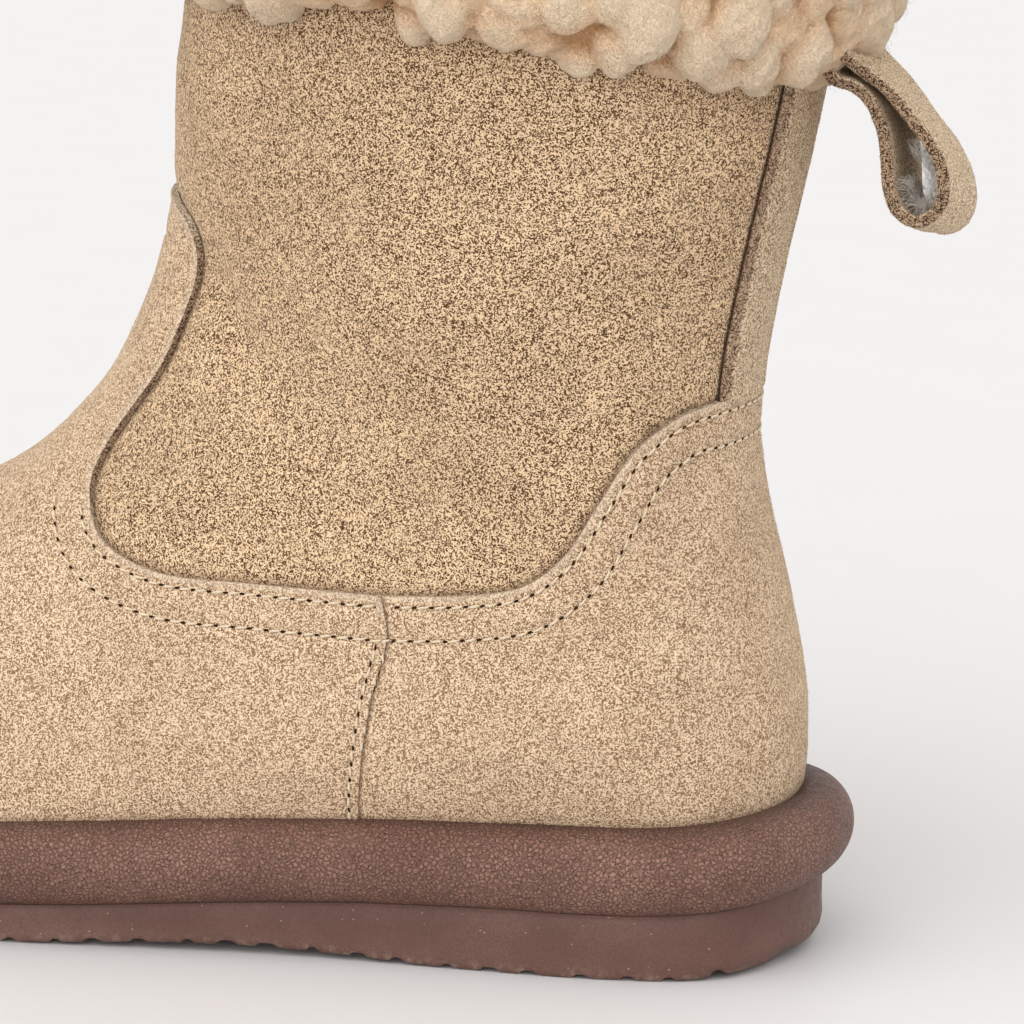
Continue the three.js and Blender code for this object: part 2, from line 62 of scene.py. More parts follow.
# ---- Sizes of the boot, in millimetres ----
LENGTH = 272.0
BALL_WIDTH = 91.0
INSTEP_HEIGHT = 101.5
WALL = 7.0
GAP = 0.3
PANEL = 1.3
HEEL_JOINT = 12.6
FORE_JOINT = 6.3
ROLL_HEIGHT = 18.0
ROLL_WIDTH = 17.0
ROLL_MIDDLE = 1.3
OUTSOLE_EDGE = 3.5
FLOOR_RISE = 9.4
INSOLE = 4.0
TOE_SPRING = {"rise": 8.0, "start": 212.0, "over": 70.0}
HEEL_KICK = {"rise": 3.0, "start": 30.0, "over": 34.0}     # lift of the outsole behind the heel
HEEL_LIFT = {"rise": 3.2, "start": 44.0, "over": 44.0}     # and of the joint above it
ARCH = {"rise": 1.8, "start": 62.0, "over": 110.0}
JOINT_SLOPE = (55.0, 200.0)
HEEL_REST_X = 46.0
FORE_REST_X = 192.0
REST_RADIUS = 13.0
CUFF_PROUD = 14.5
CUFF_INSIDE = 10.0
CUFF_FOOT = {"back": 173.0, "front": 188.0}
CUFF_TOP = {"back": 228.0, "front": 236.0}
STRIP_HALF = 14.5
STRIP = {"bottom": 113.9, "top": 194.0}
STRAP_WIDTH = 28.0
STRAP = 2.5
STRAP_SAG = 4.4                 # how much lower the strap's inner edge hangs than its outer one
SAG_FROM, SAG_TO = 1.0, -14.0   # x over which it drops
MILLIMETRE = 0.001
TINY = 1e-9

COLUMNS = ("backX", "backZ", "frontX", "frontZ", "outer", "inner", "widest", "low", "high")
SECTIONS = np.array([
    (100.0, 14.8, 100.0, 59.1, 45.1, 46.2, 0.34, 4.0, 2.2),   # toe tip, before its rounding
    (91.9, 9.9, 91.5, 66.0, 48.4, 48.4, 0.34, 4.0, 2.2),      # toe
    (83.1, 7.9, 82.7, 72.4, 51.1, 49.5, 0.33, 4.0, 2.1),
    (74.3, 7.9, 73.9, 79.3, 52.2, 47.8, 0.32, 4.0, 2.0),      # ball
    (64.7, 8.9, 65.4, 88.7, 50.5, 43.4, 0.31, 4.0, 2.0),      # waist
    (53.7, 10.8, 60.1, 98.7, 47.3, 39.0, 0.32, 3.6, 2.0),    # instep
    (42.3, 13.8, 56.1, 112.1, 45.1, 38.8, 0.34, 3.2, 2.0),
    (30.5, 15.8, 53.4, 125.2, 44.0, 41.0, 0.36, 2.9, 2.1),
    (17.6, 15.8, 51.9, 136.4, 42.9, 42.3, 0.38, 2.6, 2.1),
    (6.2, 21.7, 51.3, 145.8, 42.3, 42.3, 0.40, 2.5, 2.1),     # heel seat
    (4.1, 44.3, 51.4, 153.7, 43.4, 43.4, 0.42, 2.3, 2.2),     # back of the heel
    (5.6, 69.0, 51.2, 160.6, 45.6, 45.6, 0.44, 2.2, 2.2),
    (7.5, 91.6, 50.9, 167.5, 47.8, 47.8, 0.46, 2.2, 2.2),
    (7.7, 112.3, 50.6, 174.4, 50.0, 50.0, 0.48, 2.1, 2.2),    # ankle
    (6.3, 134.0, 50.0, 182.8, 52.2, 52.2, 0.50, 2.1, 2.2),
    (4.4, 157.6, 49.5, 192.6, 54.4, 54.4, 0.50, 2.1, 2.2),
    (2.6, 181.3, 49.2, 203.0, 56.0, 56.0, 0.50, 2.1, 2.2),
    (1.0, 204.9, 48.9, 214.8, 57.1, 57.1, 0.50, 2.1, 2.2),    # the upper's rim
    (-0.6, 228.6, 48.6, 232.5, 57.7, 57.7, 0.50, 2.1, 2.2),   # top of the cuff
])
UNIT = {"backX": LENGTH / 100, "backZ": INSTEP_HEIGHT / 100, "frontX": LENGTH / 100,
        "frontZ": INSTEP_HEIGHT / 100, "outer": BALL_WIDTH / 100, "inner": BALL_WIDTH / 100}
RIM_ROW = len(SECTIONS) - 2
TOP_ROW = len(SECTIONS) - 1
HEEL_ROW = 9
TOE_ROUND_FROM = 228.0
TOE_POWER = 2.3
TOE_POLE = 0.3

FOOT_HEEL_X = 9.0
FOOT_TOE = (272.0, -1.0)
FOOT_PLAN = (   # x, outer half width, inner half width
    (18, 22.5, 22.5), (40, 30, 29.5), (70, 32.5, 31), (100, 34.5, 31), (130, 38.5, 32),
    (160, 43, 35.5), (190, 46, 40.5), (215, 46, 44), (238, 43.5, 43.4), (256, 35, 36),
    (267, 21.5, 23.5))

VAMP_EDGE = ((141, 151), (137, 148.5), (130.5, 144.6), (127.7, 138.5), (129.5, 127.5),
             (135.5, 114.5), (144, 103), (148.6, 92), (145, 82.6), (133, 77), (110, 75.9),
             (84.5, 75.2))
COUNTER_EDGE = ((84.5, 75.2), (68, 76.3), (55, 79), (47, 85.2), (40.8, 95.5), (35, 105.5),
                (28, 111.4), (18, 113.4))
SIDE_SEAM = ((84.5, 75.2), (83, 68), (86.5, 54), (88.7, 42), (90.5, 30), (91, 10))
FAR_AHEAD = 300.0
FAR_BEHIND = -20.0

# Centre line of the strap as [x, z], from its outer end under the cuff round to its inner one.
STRAP_PATH = (
    (0.9, 190), (0.9, 184.5), (0.2, 180.6), (-2.4, 178.2), (-7.7, 174.8), (-12.2, 170.2),
    (-16.5, 164.8), (-19.3, 159), (-19.7, 153.6), (-17.6, 150), (-14.3, 148.9), (-11.2, 150.8),
    (-9.3, 155), (-8.7, 161), (-7.9, 166), (-5.7, 171.2), (-2.3, 174.2), (1.6, 175.6),
    (3.4, 179), (3.5, 184.5), (3.3, 190))

# Soft troughs (below 0) and ridges on the suede: middle x and z, slope in degrees, half length,
# half width, height, and the side of the foot (1 outer, -1 inner, 0 both).
CREASES = (
    (118, 128, 62, 20, 4.5, -0.8, 0),     # in front of the ankle
    (124, 116, 55, 18, 5.0, 0.7, 0),
    (133, 96, 48, 14, 4.0, -0.5, 0),
    (150, 112, -38, 16, 5.0, -0.7, 0),    # across the instep
    (163, 98, -32, 18, 6.0, 0.5, 0),
    (176, 86, -35, 20, 7.0, -0.5, 0),
    (205, 62, -12, 16, 6.0, -0.5, 0),     # where the toes bend
    (196, 52, 70, 14, 6.0, 0.4, 1),
    (186, 50, 60, 14, 5.0, 0.4, -1),
    (28, 96, -64, 16, 4.0, -0.6, 0),      # over the heel
    (36, 126, 78, 20, 6.0, 0.6, 1),
    (52, 138, 84, 26, 7.0, -0.5, 1),
    (88, 160, 86, 30, 9.0, 0.7, 1),       # down the shaft
    (108, 168, 82, 26, 7.0, -0.6, 0),
    (72, 108, 24, 24, 8.0, -0.5, 1),
    (60, 112, -20, 22, 8.0, -0.5, -1),
    (58, 50, 12, 22, 9.0, 0.5, 1),        # fullness over the heel and along the sole
    (120, 46, 4, 34, 10.0, 0.6, 1),
    (120, 46, 4, 34, 10.0, 0.6, -1),
)


# ---- Small tools ----
def ease(x, start, end):
    """0 at start and 1 at end, smooth between them."""
    t = np.clip((x - start) / (end - start), 0, 1)
    return t * t * (3 - 2 * t)


def hump(distance, width):
    """1 where the distance is nought, falling away smoothly over the width."""
    return np.exp(-(distance / width) ** 2)


def quarter_round(share):
    return np.sqrt(1 - (1 - np.clip(share, 0, 1)) ** 2)


def signed_power(value, exponent):
    return np.sign(value) * np.abs(value) ** exponent


def unit(vectors):
    return vectors / np.maximum(np.linalg.norm(vectors, axis=-1, keepdims=True), TINY)


def to_frame(points):
    """Boot millimetres to the row's frame in metres."""
    return (np.asarray(points, float) - (HEEL_REST_X, 0, 0)) * MILLIMETRE


class Noise:
    """Smooth value noise in three dimensions, from -1 to 1, the same for the same seed."""

    SIZE = 4096
    PRIMES = (73856093, 19349663, 83492791)

    def __init__(self, seed):
        self.table = np.random.default_rng(seed).uniform(-1, 1, self.SIZE)

    def __call__(self, points, cell):
        place = np.asarray(points, float) / cell
        base = np.floor(place).astype(np.int64)
        weight = ease(place - base, 0, 1)
        total = 0.0
        for corner in itertools.product((0, 1), repeat=3):
            key = np.bitwise_xor.reduce((base + np.array(corner)) * self.PRIMES, axis=-1)
            share = np.prod(np.where(corner, weight, 1 - weight), axis=-1)
            total = total + share * self.table[key % self.SIZE]
        return total


def spline(a, b, c, d, share):
    """Smooth curve from b to c, with a before them and d after them."""
    return 0.5 * (2 * b + (c - a) * share + (2 * a - 5 * b + 4 * c - d) * share ** 2
                  + (3 * b - a - 3 * c + d) * share ** 3)


def between(t, start, end, one, two):
    """Straight on from one, where t is start, to two, where it is end."""
    return ((end - t) * one + (t - start) * two) / (end - start)


def curve_through(points, count):
    """Points evenly spaced along a smooth curve through given points (centripetal)."""
    p = np.array(points, float)
    p = np.vstack([2 * p[0] - p[1], p, 2 * p[-1] - p[-2]])
    knots = np.concatenate([[0], np.cumsum(np.linalg.norm(np.diff(p, axis=0), axis=1) ** 0.5)])
    line = []
    for i in range(1, len(p) - 2):
        t0, t1, t2, t3 = knots[i - 1:i + 3]
        t = np.linspace(t1, t2, 24, endpoint=i == len(p) - 3)[:, None]
        a = between(t, t0, t1, p[i - 1], p[i])
        b = between(t, t1, t2, p[i], p[i + 1])
        c = between(t, t2, t3, p[i + 1], p[i + 2])
        line.append(between(t, t1, t2, between(t, t0, t2, a, b), between(t, t1, t3, b, c)))
    return resample(np.vstack(line), count)


def lengths_along(line):
    return np.concatenate([[0], np.cumsum(np.linalg.norm(np.diff(line, axis=0), axis=1))])


def values_at(lengths, gone, values):
    """Values of a line's points, taken at lengths along it."""
    return np.stack([np.interp(lengths, gone, column) for column in values.T], axis=-1)


def resample(line, count):
    gone = lengths_along(line)
    return values_at(np.linspace(0, gone[-1], count), gone, line)


def distance_to_line(points, line):
    """Distance of each [x, z] point to a polyline."""
    nearest = np.full(len(points), np.inf)
    for a, b in zip(line[:-1], line[1:]):
        along = b - a
        share = np.clip((points - a) @ along / max(along @ along, TINY), 0, 1)
        nearest = np.minimum(nearest, np.linalg.norm(points - a - share[:, None] * along, axis=1))
    return nearest


def inside_outline(points, outline):
    x, z = points[:, 0], points[:, 1]
    inside = np.zeros(len(points), bool)
    for (ax, az), (bx, bz) in zip(outline, np.roll(outline, -1, axis=0)):
        crosses = (az > z) != (bz > z)
        with np.errstate(divide="ignore", invalid="ignore"):
            inside ^= crosses & (x < (bx - ax) * (z - az) / (bz - az) + ax)
    return inside


# ---- The last ----
def column_at(column, row):
    """Smooth curve through a column of the sections, straight on before the first of them."""
    values = SECTIONS[:, COLUMNS.index(column)] * UNIT.get(column, 1.0)
    held = np.concatenate([[2 * values[0] - values[1]], values, [2 * values[-1] - values[-2]]])
    i = np.clip(np.floor(row).astype(int), 0, len(values) - 2)
    curve = spline(*(held[i + k] for k in range(4)), row - i)
    return np.where(row < 0, values[0] + row * (values[1] - values[0]), curve)


def last_point(row, turn, inset):
    """Point of the last at a row and a turn round its section, moved inwards by inset."""
    step = 0.05
    row, turn = np.broadcast_arrays(np.asarray(row, float), np.asarray(turn, float))
    q = {column: column_at(column, row) for column in COLUMNS}
    slope = {column: column_at(column, row + step) - column_at(column, row - step)
             for column in ("backX", "backZ", "frontX", "frontZ")}
    back = np.hypot(slope["backX"], slope["backZ"])
    front = np.hypot(slope["frontX"], slope["frontZ"])
    heel = np.clip((row - HEEL_ROW + 2) / 2, 0, 1)
    back_x = q["backX"] + inset * heel * np.maximum(0, slope["backZ"]) / back
    front_x = q["frontX"] - inset * slope["frontZ"] / front
    front_z = q["frontZ"] + inset * slope["frontX"] / front
    tip = LENGTH - inset
    toe = np.clip((q["backX"] - TOE_ROUND_FROM) / (tip - TOE_ROUND_FROM), 0, 1)
    rounding = (1 - toe ** TOE_POWER) ** (1 / TOE_POWER)
    power = np.where(np.cos(turn) > 0, q["low"], q["high"])
    along = signed_power(np.cos(turn), 2 / power)
    across = signed_power(np.sin(turn), 2 / power)
    plain = np.where(along > 0, q["widest"] * (1 - along),
                     q["widest"] - (1 - q["widest"]) * along)
    share = TOE_POLE + (plain - TOE_POLE) * rounding
    half = np.where(across > 0, q["outer"], q["inner"]) - inset
    return np.stack([back_x + (front_x - back_x) * share, half * across * rounding,
                     q["backZ"] + (front_z - q["backZ"]) * share], axis=-1)


def last_normal(row, turn, inset):
    """Outward normal of the last."""
    step_row, step_turn = 0.02, 0.01
    up = last_point(row + step_row, turn, inset) - last_point(row - step_row, turn, inset)
    on = last_point(row, turn + step_turn, inset) - last_point(row, turn - step_turn, inset)
    return unit(np.cross(up, on))


def tip_row(inset):
    return inset * 100 / LENGTH / (SECTIONS[0][0] - SECTIONS[1][0])


def creases(points):
    """Height of the listed folds of the suede at points of the last."""
    height = np.zeros(len(points))
    for x, z, slope, half_length, half_width, rise, side in CREASES:
        c, s = math.cos(math.radians(slope)), math.sin(math.radians(slope))
        dx, dz = points[:, 0] - x, points[:, 2] - z
        on_side = 1.0 if side == 0 else ease(points[:, 1] * side, -8, 8)
        height += (rise * on_side * hump(dx * c + dz * s, half_length)
                   * hump(dz * c - dx * s, half_width))
    return height


SUEDE_WAVES = Noise(11)
WAVES = {    # heights and widths of uneven surfaces' waves
    "hide": ((0.28, 17.0), (0.10, 5.5), (0.05, 2.1)),
    "strap": ((0.22, 6.0), (0.07, 1.8)),
    "curls": ((0.34, 2.0), (0.20, 1.2)),
    "roll": ((0.22, 24.0), (0.08, 7.0))}


def waves(kind, noise, points):
    return sum(height * noise(points, width) for height, width in WAVES[kind])


def suede_relief(points):
    """Folds and the slow unevenness of the hide."""
    return creases(points) + waves("hide", SUEDE_WAVES, points)


# ---- Nets over the last ----
class Net:
    """Triangles between points of the last that are kept as rows and turns, so that a cut stays
    exactly on its surface."""

    def __init__(self, row, turn, triangles, inset):
        self.row, self.turn, self.triangles, self.inset = row, turn, triangles, inset

    def points(self):
        return last_point(self.row, self.turn, self.inset)

    def normals(self):
        normals = last_normal(self.row, self.turn, self.inset)
        normals[self.row <= tip_row(self.inset) + 0.01] = (1, 0, 0)
        return normals

    def _crossings(self, value):
        """Cut triangles turned so that the corner alone on its side is first, and the new point
        on each cut edge."""
        above = value[self.triangles] > 0
        count = above.sum(1)
        cut = (count == 1) | (count == 2)
        odd = np.argmax(above == (count == 1)[:, None], axis=1)[cut]
        turned = self.triangles[cut]
        a, b, c = (turned[np.arange(len(odd)), (odd + k) % 3] for k in range(3))
        pairs = np.sort(np.concatenate([np.stack([a, b], 1), np.stack([a, c], 1)]), axis=1)
        edges, index = np.unique(pairs, axis=0, return_inverse=True)
        low, high = edges[:, 0], edges[:, 1]
        share = value[low] / (value[low] - value[high])
        row = self.row[low] + share * (self.row[high] - self.row[low])
        swing = (self.turn[high] - self.turn[low] + math.pi) % (2 * math.pi) - math.pi
        turn = (self.turn[low] + share * swing) % (2 * math.pi)
        index = index.ravel()
        return cut, count, (a, b, c), index[:len(a)], index[len(a):], row, turn

    def cut(self, field, drop=True):
        """Splits the triangles where a field crosses nought, and drops what is below it."""
        value = field(self)
        cut, count, (a, b, c), ab, ac, row, turn = self._crossings(value)
        ab, ac = ab + len(self.row), ac + len(self.row)
        self.row, self.turn = np.append(self.row, row), np.append(self.turn, turn)
        alone = np.stack([a, ab, ac], 1)
        pair = np.concatenate([np.stack([ab, b, c], 1), np.stack([ab, c, ac], 1)])
        alone_above = (count == 1)[cut]
        if drop:
            alone, pair = alone[alone_above], pair[np.tile(~alone_above, 2)]
            whole = self.triangles[count == 3]
        else:
            whole = self.triangles[~cut]
        self.triangles = np.concatenate([whole, alone, pair])
        self.tidy()

    def tidy(self):
        """Forgets slivers, and points that no triangle uses."""
        used, index = np.unique(without_slivers(self.triangles), return_inverse=True)
        self.row, self.turn = self.row[used], self.turn[used]
        self.triangles = index.reshape(-1, 3)

    def lines(self, field):
        """The lines where a field is nought, as arrays of rows and turns."""
        _, _, _, ab, ac, row, turn = self._crossings(field(self))
        beside = {}
        for one, two in zip(ab.tolist(), ac.tolist()):
            beside.setdefault(one, []).append(two)
            beside.setdefault(two, []).append(one)
        found, seen = [], set()
        starts = [k for k in beside if len(beside[k]) == 1] + list(beside)
        for start in starts:
            if start in seen:
                continue
            chain = [start]
            seen.add(start)
            while True:
                following = [k for k in beside[chain[-1]] if k not in seen]
                if not following:
                    break
                chain.append(following[0])
                seen.add(following[0])
            found.append((row[chain], turn[chain]))
        return found


def even_net(first_row, last_row, cell, inset):
    """A net of nearly square meshes over the last between two rows, with a pole at the toe."""
    has_pole = first_row <= tip_row(inset)
    trial = first_row + (last_row - first_row) * np.linspace(0, 1, 500) ** (2 if has_pole else 1)
    turns = np.linspace(0, 2 * np.pi, 361)
    rings = last_point(trial[:, None], turns[None], inset)
    steps = np.quantile(np.linalg.norm(np.diff(rings, axis=0), axis=-1), 0.75, axis=1)
    gone = np.concatenate([[0], np.cumsum(steps)])
    count = int(gone[-1] / cell) + 1
    rows = np.interp(np.linspace(0, gone[-1], count), gone, trial)
    rings = last_point(rows[:, None], turns[None], inset)
    around_length = np.concatenate([
        np.zeros((count, 1)),
        np.cumsum(np.linalg.norm(np.diff(rings, axis=1), axis=-1), axis=1)], axis=1)
    around = int(np.quantile(around_length[:, -1], 0.6) / cell)
    share = np.arange(around) / around
    turn = np.array([np.interp(share * max(gone_round[-1], 1e-6), gone_round, turns)
                     for gone_round in around_length])
    if has_pole:
        turn[0] = turn[1]
    row = np.repeat(rows, around)
    index = np.arange(count * around).reshape(count, around)
    if has_pole:
        index[0] = 0
    net = Net(row, turn.ravel(), grid_triangles(index), inset)
    net.tidy()
    return net


def without_slivers(triangles):
    a, b, c = triangles.T
    return triangles[(a != b) & (b != c) & (c != a)]


def grid_triangles(index, closed=True):
    """Triangles over a grid of point numbers, closed round its second direction or not."""
    right = np.roll(index, -1, axis=1) if closed else index[:, 1:]
    left = index if closed else index[:, :-1]
    a, b, c, d = left[:-1], right[:-1], right[1:], left[1:]
    return np.concatenate([np.stack([a, d, c], -1).reshape(-1, 3),
                           np.stack([a, c, b], -1).reshape(-1, 3)])


# ---- The sole's outline and heights ----
def toe_spring(x):
    share = np.clip((x - TOE_SPRING["start"]) / TOE_SPRING["over"], 0, 1)
    return TOE_SPRING["rise"] * share ** 2


def towards_heel(x, lift):
    return lift["rise"] * np.clip((lift["start"] - x) / lift["over"], 0, 1) ** 2


def joint(x):
    level = HEEL_JOINT + (FORE_JOINT - HEEL_JOINT) * ease(x, *JOINT_SLOPE)
    return level + toe_spring(x) + towards_heel(x, HEEL_LIFT)


def ground(x):
    arch = ARCH["rise"] * np.sin(np.pi * np.clip((x - ARCH["start"]) / ARCH["over"], 0, 1)) ** 2
    return toe_spring(x) + towards_heel(x, HEEL_KICK) + arch


def tray_floor(x):
    return joint(x) + FLOOR_RISE


PLAN_POINTS = np.array(
    [(FOOT_HEEL_X, 0)] + [(x, outer) for x, outer, _ in FOOT_PLAN] + [FOOT_TOE]
    + [(x, -inner) for x, _, inner in reversed(FOOT_PLAN)], float)


def plan_point(share):
    """Point of the outline that the sole is cut to, from the heel (0) by the outer side to the
    toe (0.5) and back."""
    at = share * len(PLAN_POINTS)
    i = np.floor(at).astype(int)
    around = (PLAN_POINTS[(i + k) % len(PLAN_POINTS)] for k in (-1, 0, 1, 2))
    return spline(*around, (at - i)[:, None])


def plan_ring(share, grow):
    """The outline moved outwards by grow."""
    step = 1e-4
    tangent = unit(plan_point((share + step) % 1) - plan_point((share - step) % 1))
    point = plan_point(share % 1)
    return point + np.stack([-tangent[:, 1], tangent[:, 0]], 1) * np.reshape(grow, (-1, 1))


def even_shares(count):
    """Shares of the outline, evenly spaced along the outer side and mirrored on the inner one."""
    trial = np.linspace(0, 0.5, 900)
    gone = lengths_along(plan_ring(trial, OUTSOLE_EDGE))
    outer = np.interp(np.linspace(0, gone[-1], count + 1), gone, trial)
    return np.concatenate([outer, 1 - outer[-2:0:-1]])


def facing_halves(ring):
    """A closed ring's outer side, from heel to toe, and its inner side the same way."""
    half = len(ring) // 2
    return ring[:half + 1], np.concatenate([ring[:1], ring[:half:-1], ring[half:half + 1]])


# ---- Materials ----
PAINT = {   # screen colours from 0 to 255
    "sheen": (255, 238, 212),
    "suede in shade": (112, 80, 58),
    "suede in deep shade": (40, 28, 20),
    "dark grit": (66, 44, 34),
    "light grit": (196, 166, 136),
    "fluff in shade": (120, 96, 76),
    "roll, darker": (152, 109, 91),
    "roll, lighter": (174, 130, 111),
    "roll's wrinkle": (80, 50, 40),
    "roll's grain": (72, 42, 32),
    "roll's pores": (76, 46, 36),
    "roll's speck": (196, 172, 156),
    "roll in shade": (56, 34, 28),
    "outsole, darker": (104, 72, 62),
    "outsole, lighter": (118, 86, 75),
    "outsole, paler near the floor": (150, 124, 110),
    "outsole's pores": (78, 50, 42),
    "outsole's speck": (186, 162, 146),
    "thread, darker": (224, 198, 162),
    "thread, lighter": (255, 240, 212),
    # painted shade of a needle hole, and its lighter mottle:
    "hole": (34, 24, 16),
    "hole's shade, lighter": (62, 44, 30),
    "floor, darker": (240, 239, 239),
    "floor, lighter": (243, 242, 242),
}
TUFTS = 0.35                    # share of the suede's grain that soft tufts make; fine nap the rest


def colour(paint, returned=1.0):
    """A paint, by name or as a screen colour, as a linear one dimmed to the share returned."""
    screen = np.array(PAINT.get(paint, paint), float) / 255
    linear = np.where(screen <= 0.04045, screen / 12.92, ((screen + 0.055) / 1.055) ** 2.4)
    return (*(linear * returned), 1.0)


class Shading:
    """A node material under construction."""

    def __init__(self, name, returned=0.82, **settings):
        self.returned = returned    # share of the written colours that the surface returns
        self.material = bpy.data.materials.new(name)
        self.material.use_nodes = True
        self.nodes = self.material.node_tree.nodes
        self.links = self.material.node_tree.links
        self.shader = self.nodes["Principled BSDF"]
        for socket, value in settings.items():
            self.shader.inputs[socket.replace("_", " ")].default_value = value
        self.place = self.node("ShaderNodeTexCoord").outputs["Object"]

    def node(self, kind, inputs=None, **settings):
        made = self.nodes.new(kind)
        for key, value in settings.items():
            setattr(made, key, value)
        for key, value in (inputs or {}).items():
            if isinstance(value, bpy.types.NodeSocket):
                self.links.new(value, made.inputs[key])
            else:
                made.inputs[key].default_value = value
        return made

    def attribute(self, name):
        return self.node("ShaderNodeAttribute", attribute_name=name).outputs["Fac"]

    def noise(self, size_mm, detail=2.0, roughness=0.5, distortion=0.0):
        return self.node("ShaderNodeTexNoise", {
            "Vector": self.place, "Scale": 1 / (size_mm * MILLIMETRE), "Detail": detail,
            "Roughness": roughness, "Distortion": distortion}).outputs["Fac"]

    def cells(self, size_mm, feature="F1", output="Distance"):
        return self.node("ShaderNodeTexVoronoi", {
            "Vector": self.place, "Scale": 1 / (size_mm * MILLIMETRE)},
            feature=feature).outputs[output]

    def ramp(self, value, low, high, from_value=0.0, to_value=1.0):
        return self.node("ShaderNodeMapRange", {
            "Value": value, "From Min": low, "From Max": high, "To Min": from_value,
            "To Max": to_value}, interpolation_type="SMOOTHSTEP").outputs[0]

    def math(self, operation, one, two):
        return self.node("ShaderNodeMath", {0: one, 1: two}, operation=operation).outputs[0]

    def mix(self, share, one, two):
        made = self.node("ShaderNodeMix", data_type="RGBA")
        for socket, value in (("Factor", share), ("A", one), ("B", two)):
            kind = "VALUE" if socket == "Factor" else "RGBA"
            spot = next(s for s in made.inputs if s.name == socket and s.type == kind)
            if isinstance(value, bpy.types.NodeSocket):
                self.links.new(value, spot)
            else:
                spot.default_value = value if socket == "Factor" else colour(value, self.returned)
        return next(s for s in made.outputs if s.type == "RGBA")

    def layer(self, base, paint, value, low, high, from_share=0.0, to_share=1.0):
        """Paint over a base, by a share that changes where the value goes from low to high."""
        return self.mix(self.ramp(value, low, high, from_share, to_share), base, paint)

    def finish(self, base, bumps, roughness=None):
        """Joins the colour, the roughness and a stack of (height, depth in mm) bumps."""
        self.links.new(base, self.shader.inputs["Base Color"])
        if roughness is not None:
            self.links.new(roughness, self.shader.inputs["Roughness"])
        normal = {}
        for height, depth in bumps:
            made = self.node("ShaderNodeBump", {
                "Height": height, "Strength": 1.0, "Distance": depth * MILLIMETRE, **normal})
            normal = {"Normal": made.outputs[0]}
        self.links.new(normal["Normal"], self.shader.inputs["Normal"])
        return self.material


def suede(name, light, middle, dark, raw, contrast):
    """Napped suede: fine light and dark tufts, brushed patches and speckled cut edges, painted
    paler where they face up as painted light from above."""
    s = Shading(name, Roughness=0.95, Sheen_Weight=0.22, Sheen_Roughness=0.45,
                Sheen_Tint=colour("sheen"), Specular_IOR_Level=0.1)
    grain = s.math(
        "ADD", s.math("MULTIPLY", s.noise(0.27, detail=0.5, distortion=0.3), TUFTS),
        s.math("MULTIPLY", s.cells(0.25, output="Color"), 1 - TUFTS))
    brushed = s.noise(26, detail=3.0, roughness=0.55)
    base = s.mix(contrast, middle, s.mix(s.ramp(grain, 0.38, 0.60), dark, light))
    base = s.layer(base, dark, brushed, 0.42, 0.62, 0.0, 0.10)
    base = s.layer(base, light, s.noise(7), 0.45, 0.75, 0.0, 0.10)
    ragged = s.math("ADD", s.attribute("edge"), s.math("MULTIPLY", s.noise(0.5), 1.4))
    base = s.layer(base, raw, ragged, 1.2, 2.2, 0.34, 0.0)
    # Cut faces: their own dark speckled grit where they face sideways, painted paler where they
    # face up, as painted light from above.
    up = s.node("ShaderNodeSeparateXYZ", {0: s.node("ShaderNodeNewGeometry").outputs["Normal"]})
    grit = s.mix(s.ramp(grain, 0.40, 0.60), "dark grit", "light grit")
    fluff = s.mix(s.ramp(grain, 0.38, 0.56), "fluff in shade", raw)
    base = s.mix(s.attribute("cut"), base, s.layer(grit, fluff, up.outputs["Z"], 0.15, 0.75))
    shade = s.attribute("shade")
    base = s.mix(shade, base, "suede in shade")
    # Painted deep shade where the shade runs highest: the near-black line in the seam beside the
    # back strip.
    base = s.layer(base, "suede in deep shade", shade, 0.72, 0.95, 0.0, 0.85)
    return s.finish(base, [(brushed, 0.4), (grain, 0.30)])


def fleece(name, light, middle, root):
    """Curly wool: cream locks, with painted shade making them darker and warmer towards the roots.
    """
    s = Shading(name, returned=1.0, Roughness=1.0, Sheen_Weight=0.5, Sheen_Roughness=0.6,
                Sheen_Tint=colour("sheen"), Specular_IOR_Level=0.05)
    curls = s.noise(1.1, detail=3.0, roughness=0.65, distortion=1.8)
    fibres = s.noise(0.4, roughness=0.7, distortion=2.4)
    depth = s.math("ADD", s.attribute("depth"),
                   s.math("MULTIPLY", s.math("SUBTRACT", curls, 0.5), 0.5))
    # Painted shade: where the pile is low (small depth) the colour goes towards the dark, warm root
    # colour.
    base = s.mix(s.ramp(depth, 0.10, 0.46), root, middle)
    base = s.layer(base, light, depth, 0.40, 0.70)
    base = s.layer(base, middle, s.noise(9), 0.5, 0.75, 0.0, 0.35)
    base = s.layer(base, root, fibres, 0.35, 0.5, 0.25, 0.0)
    return s.finish(base, [(curls, 0.9), (fibres, 0.35)])


def roll_rubber():
    """Soft moulded foam rubber with a fine leather grain and a few pale specks."""
    s = Shading("roll_rubber", Roughness=0.5, Specular_IOR_Level=0.42, Coat_Weight=0.06,
                Coat_Roughness=0.5)
    broad = s.noise(22, detail=3.0)
    wrinkles = s.noise(0.50, roughness=0.6, distortion=1.2)
    grain = s.ramp(s.cells(0.95, "DISTANCE_TO_EDGE"), 0.0, 0.22)
    base = s.mix(s.ramp(broad, 0.35, 0.7), "roll, darker", "roll, lighter")
    base = s.layer(base, "roll's wrinkle", wrinkles, 0.40, 0.5, 0.46, 0.0)
    base = s.layer(base, "roll's grain", grain, 0.0, 1.0, 0.50, 0.0)
    base = s.layer(base, "roll's pores", s.cells(0.30, output="Color"), 0.28, 0.5, 0.50, 0.0)
    specks = s.ramp(s.cells(1.7), 0.05, 0.09, 1.0, 0.0)
    chance = s.ramp(s.noise(3.0, detail=1.0), 0.55, 0.60)
    base = s.mix(s.math("MULTIPLY", specks, chance), base, "roll's speck")
    base = s.mix(s.attribute("shade"), base, "roll in shade")
    return s.finish(base, [(broad, 0.4), (wrinkles, 0.40), (grain, 0.22)],
                    s.ramp(s.noise(3.0), 0.3, 0.7, 0.42, 0.58))


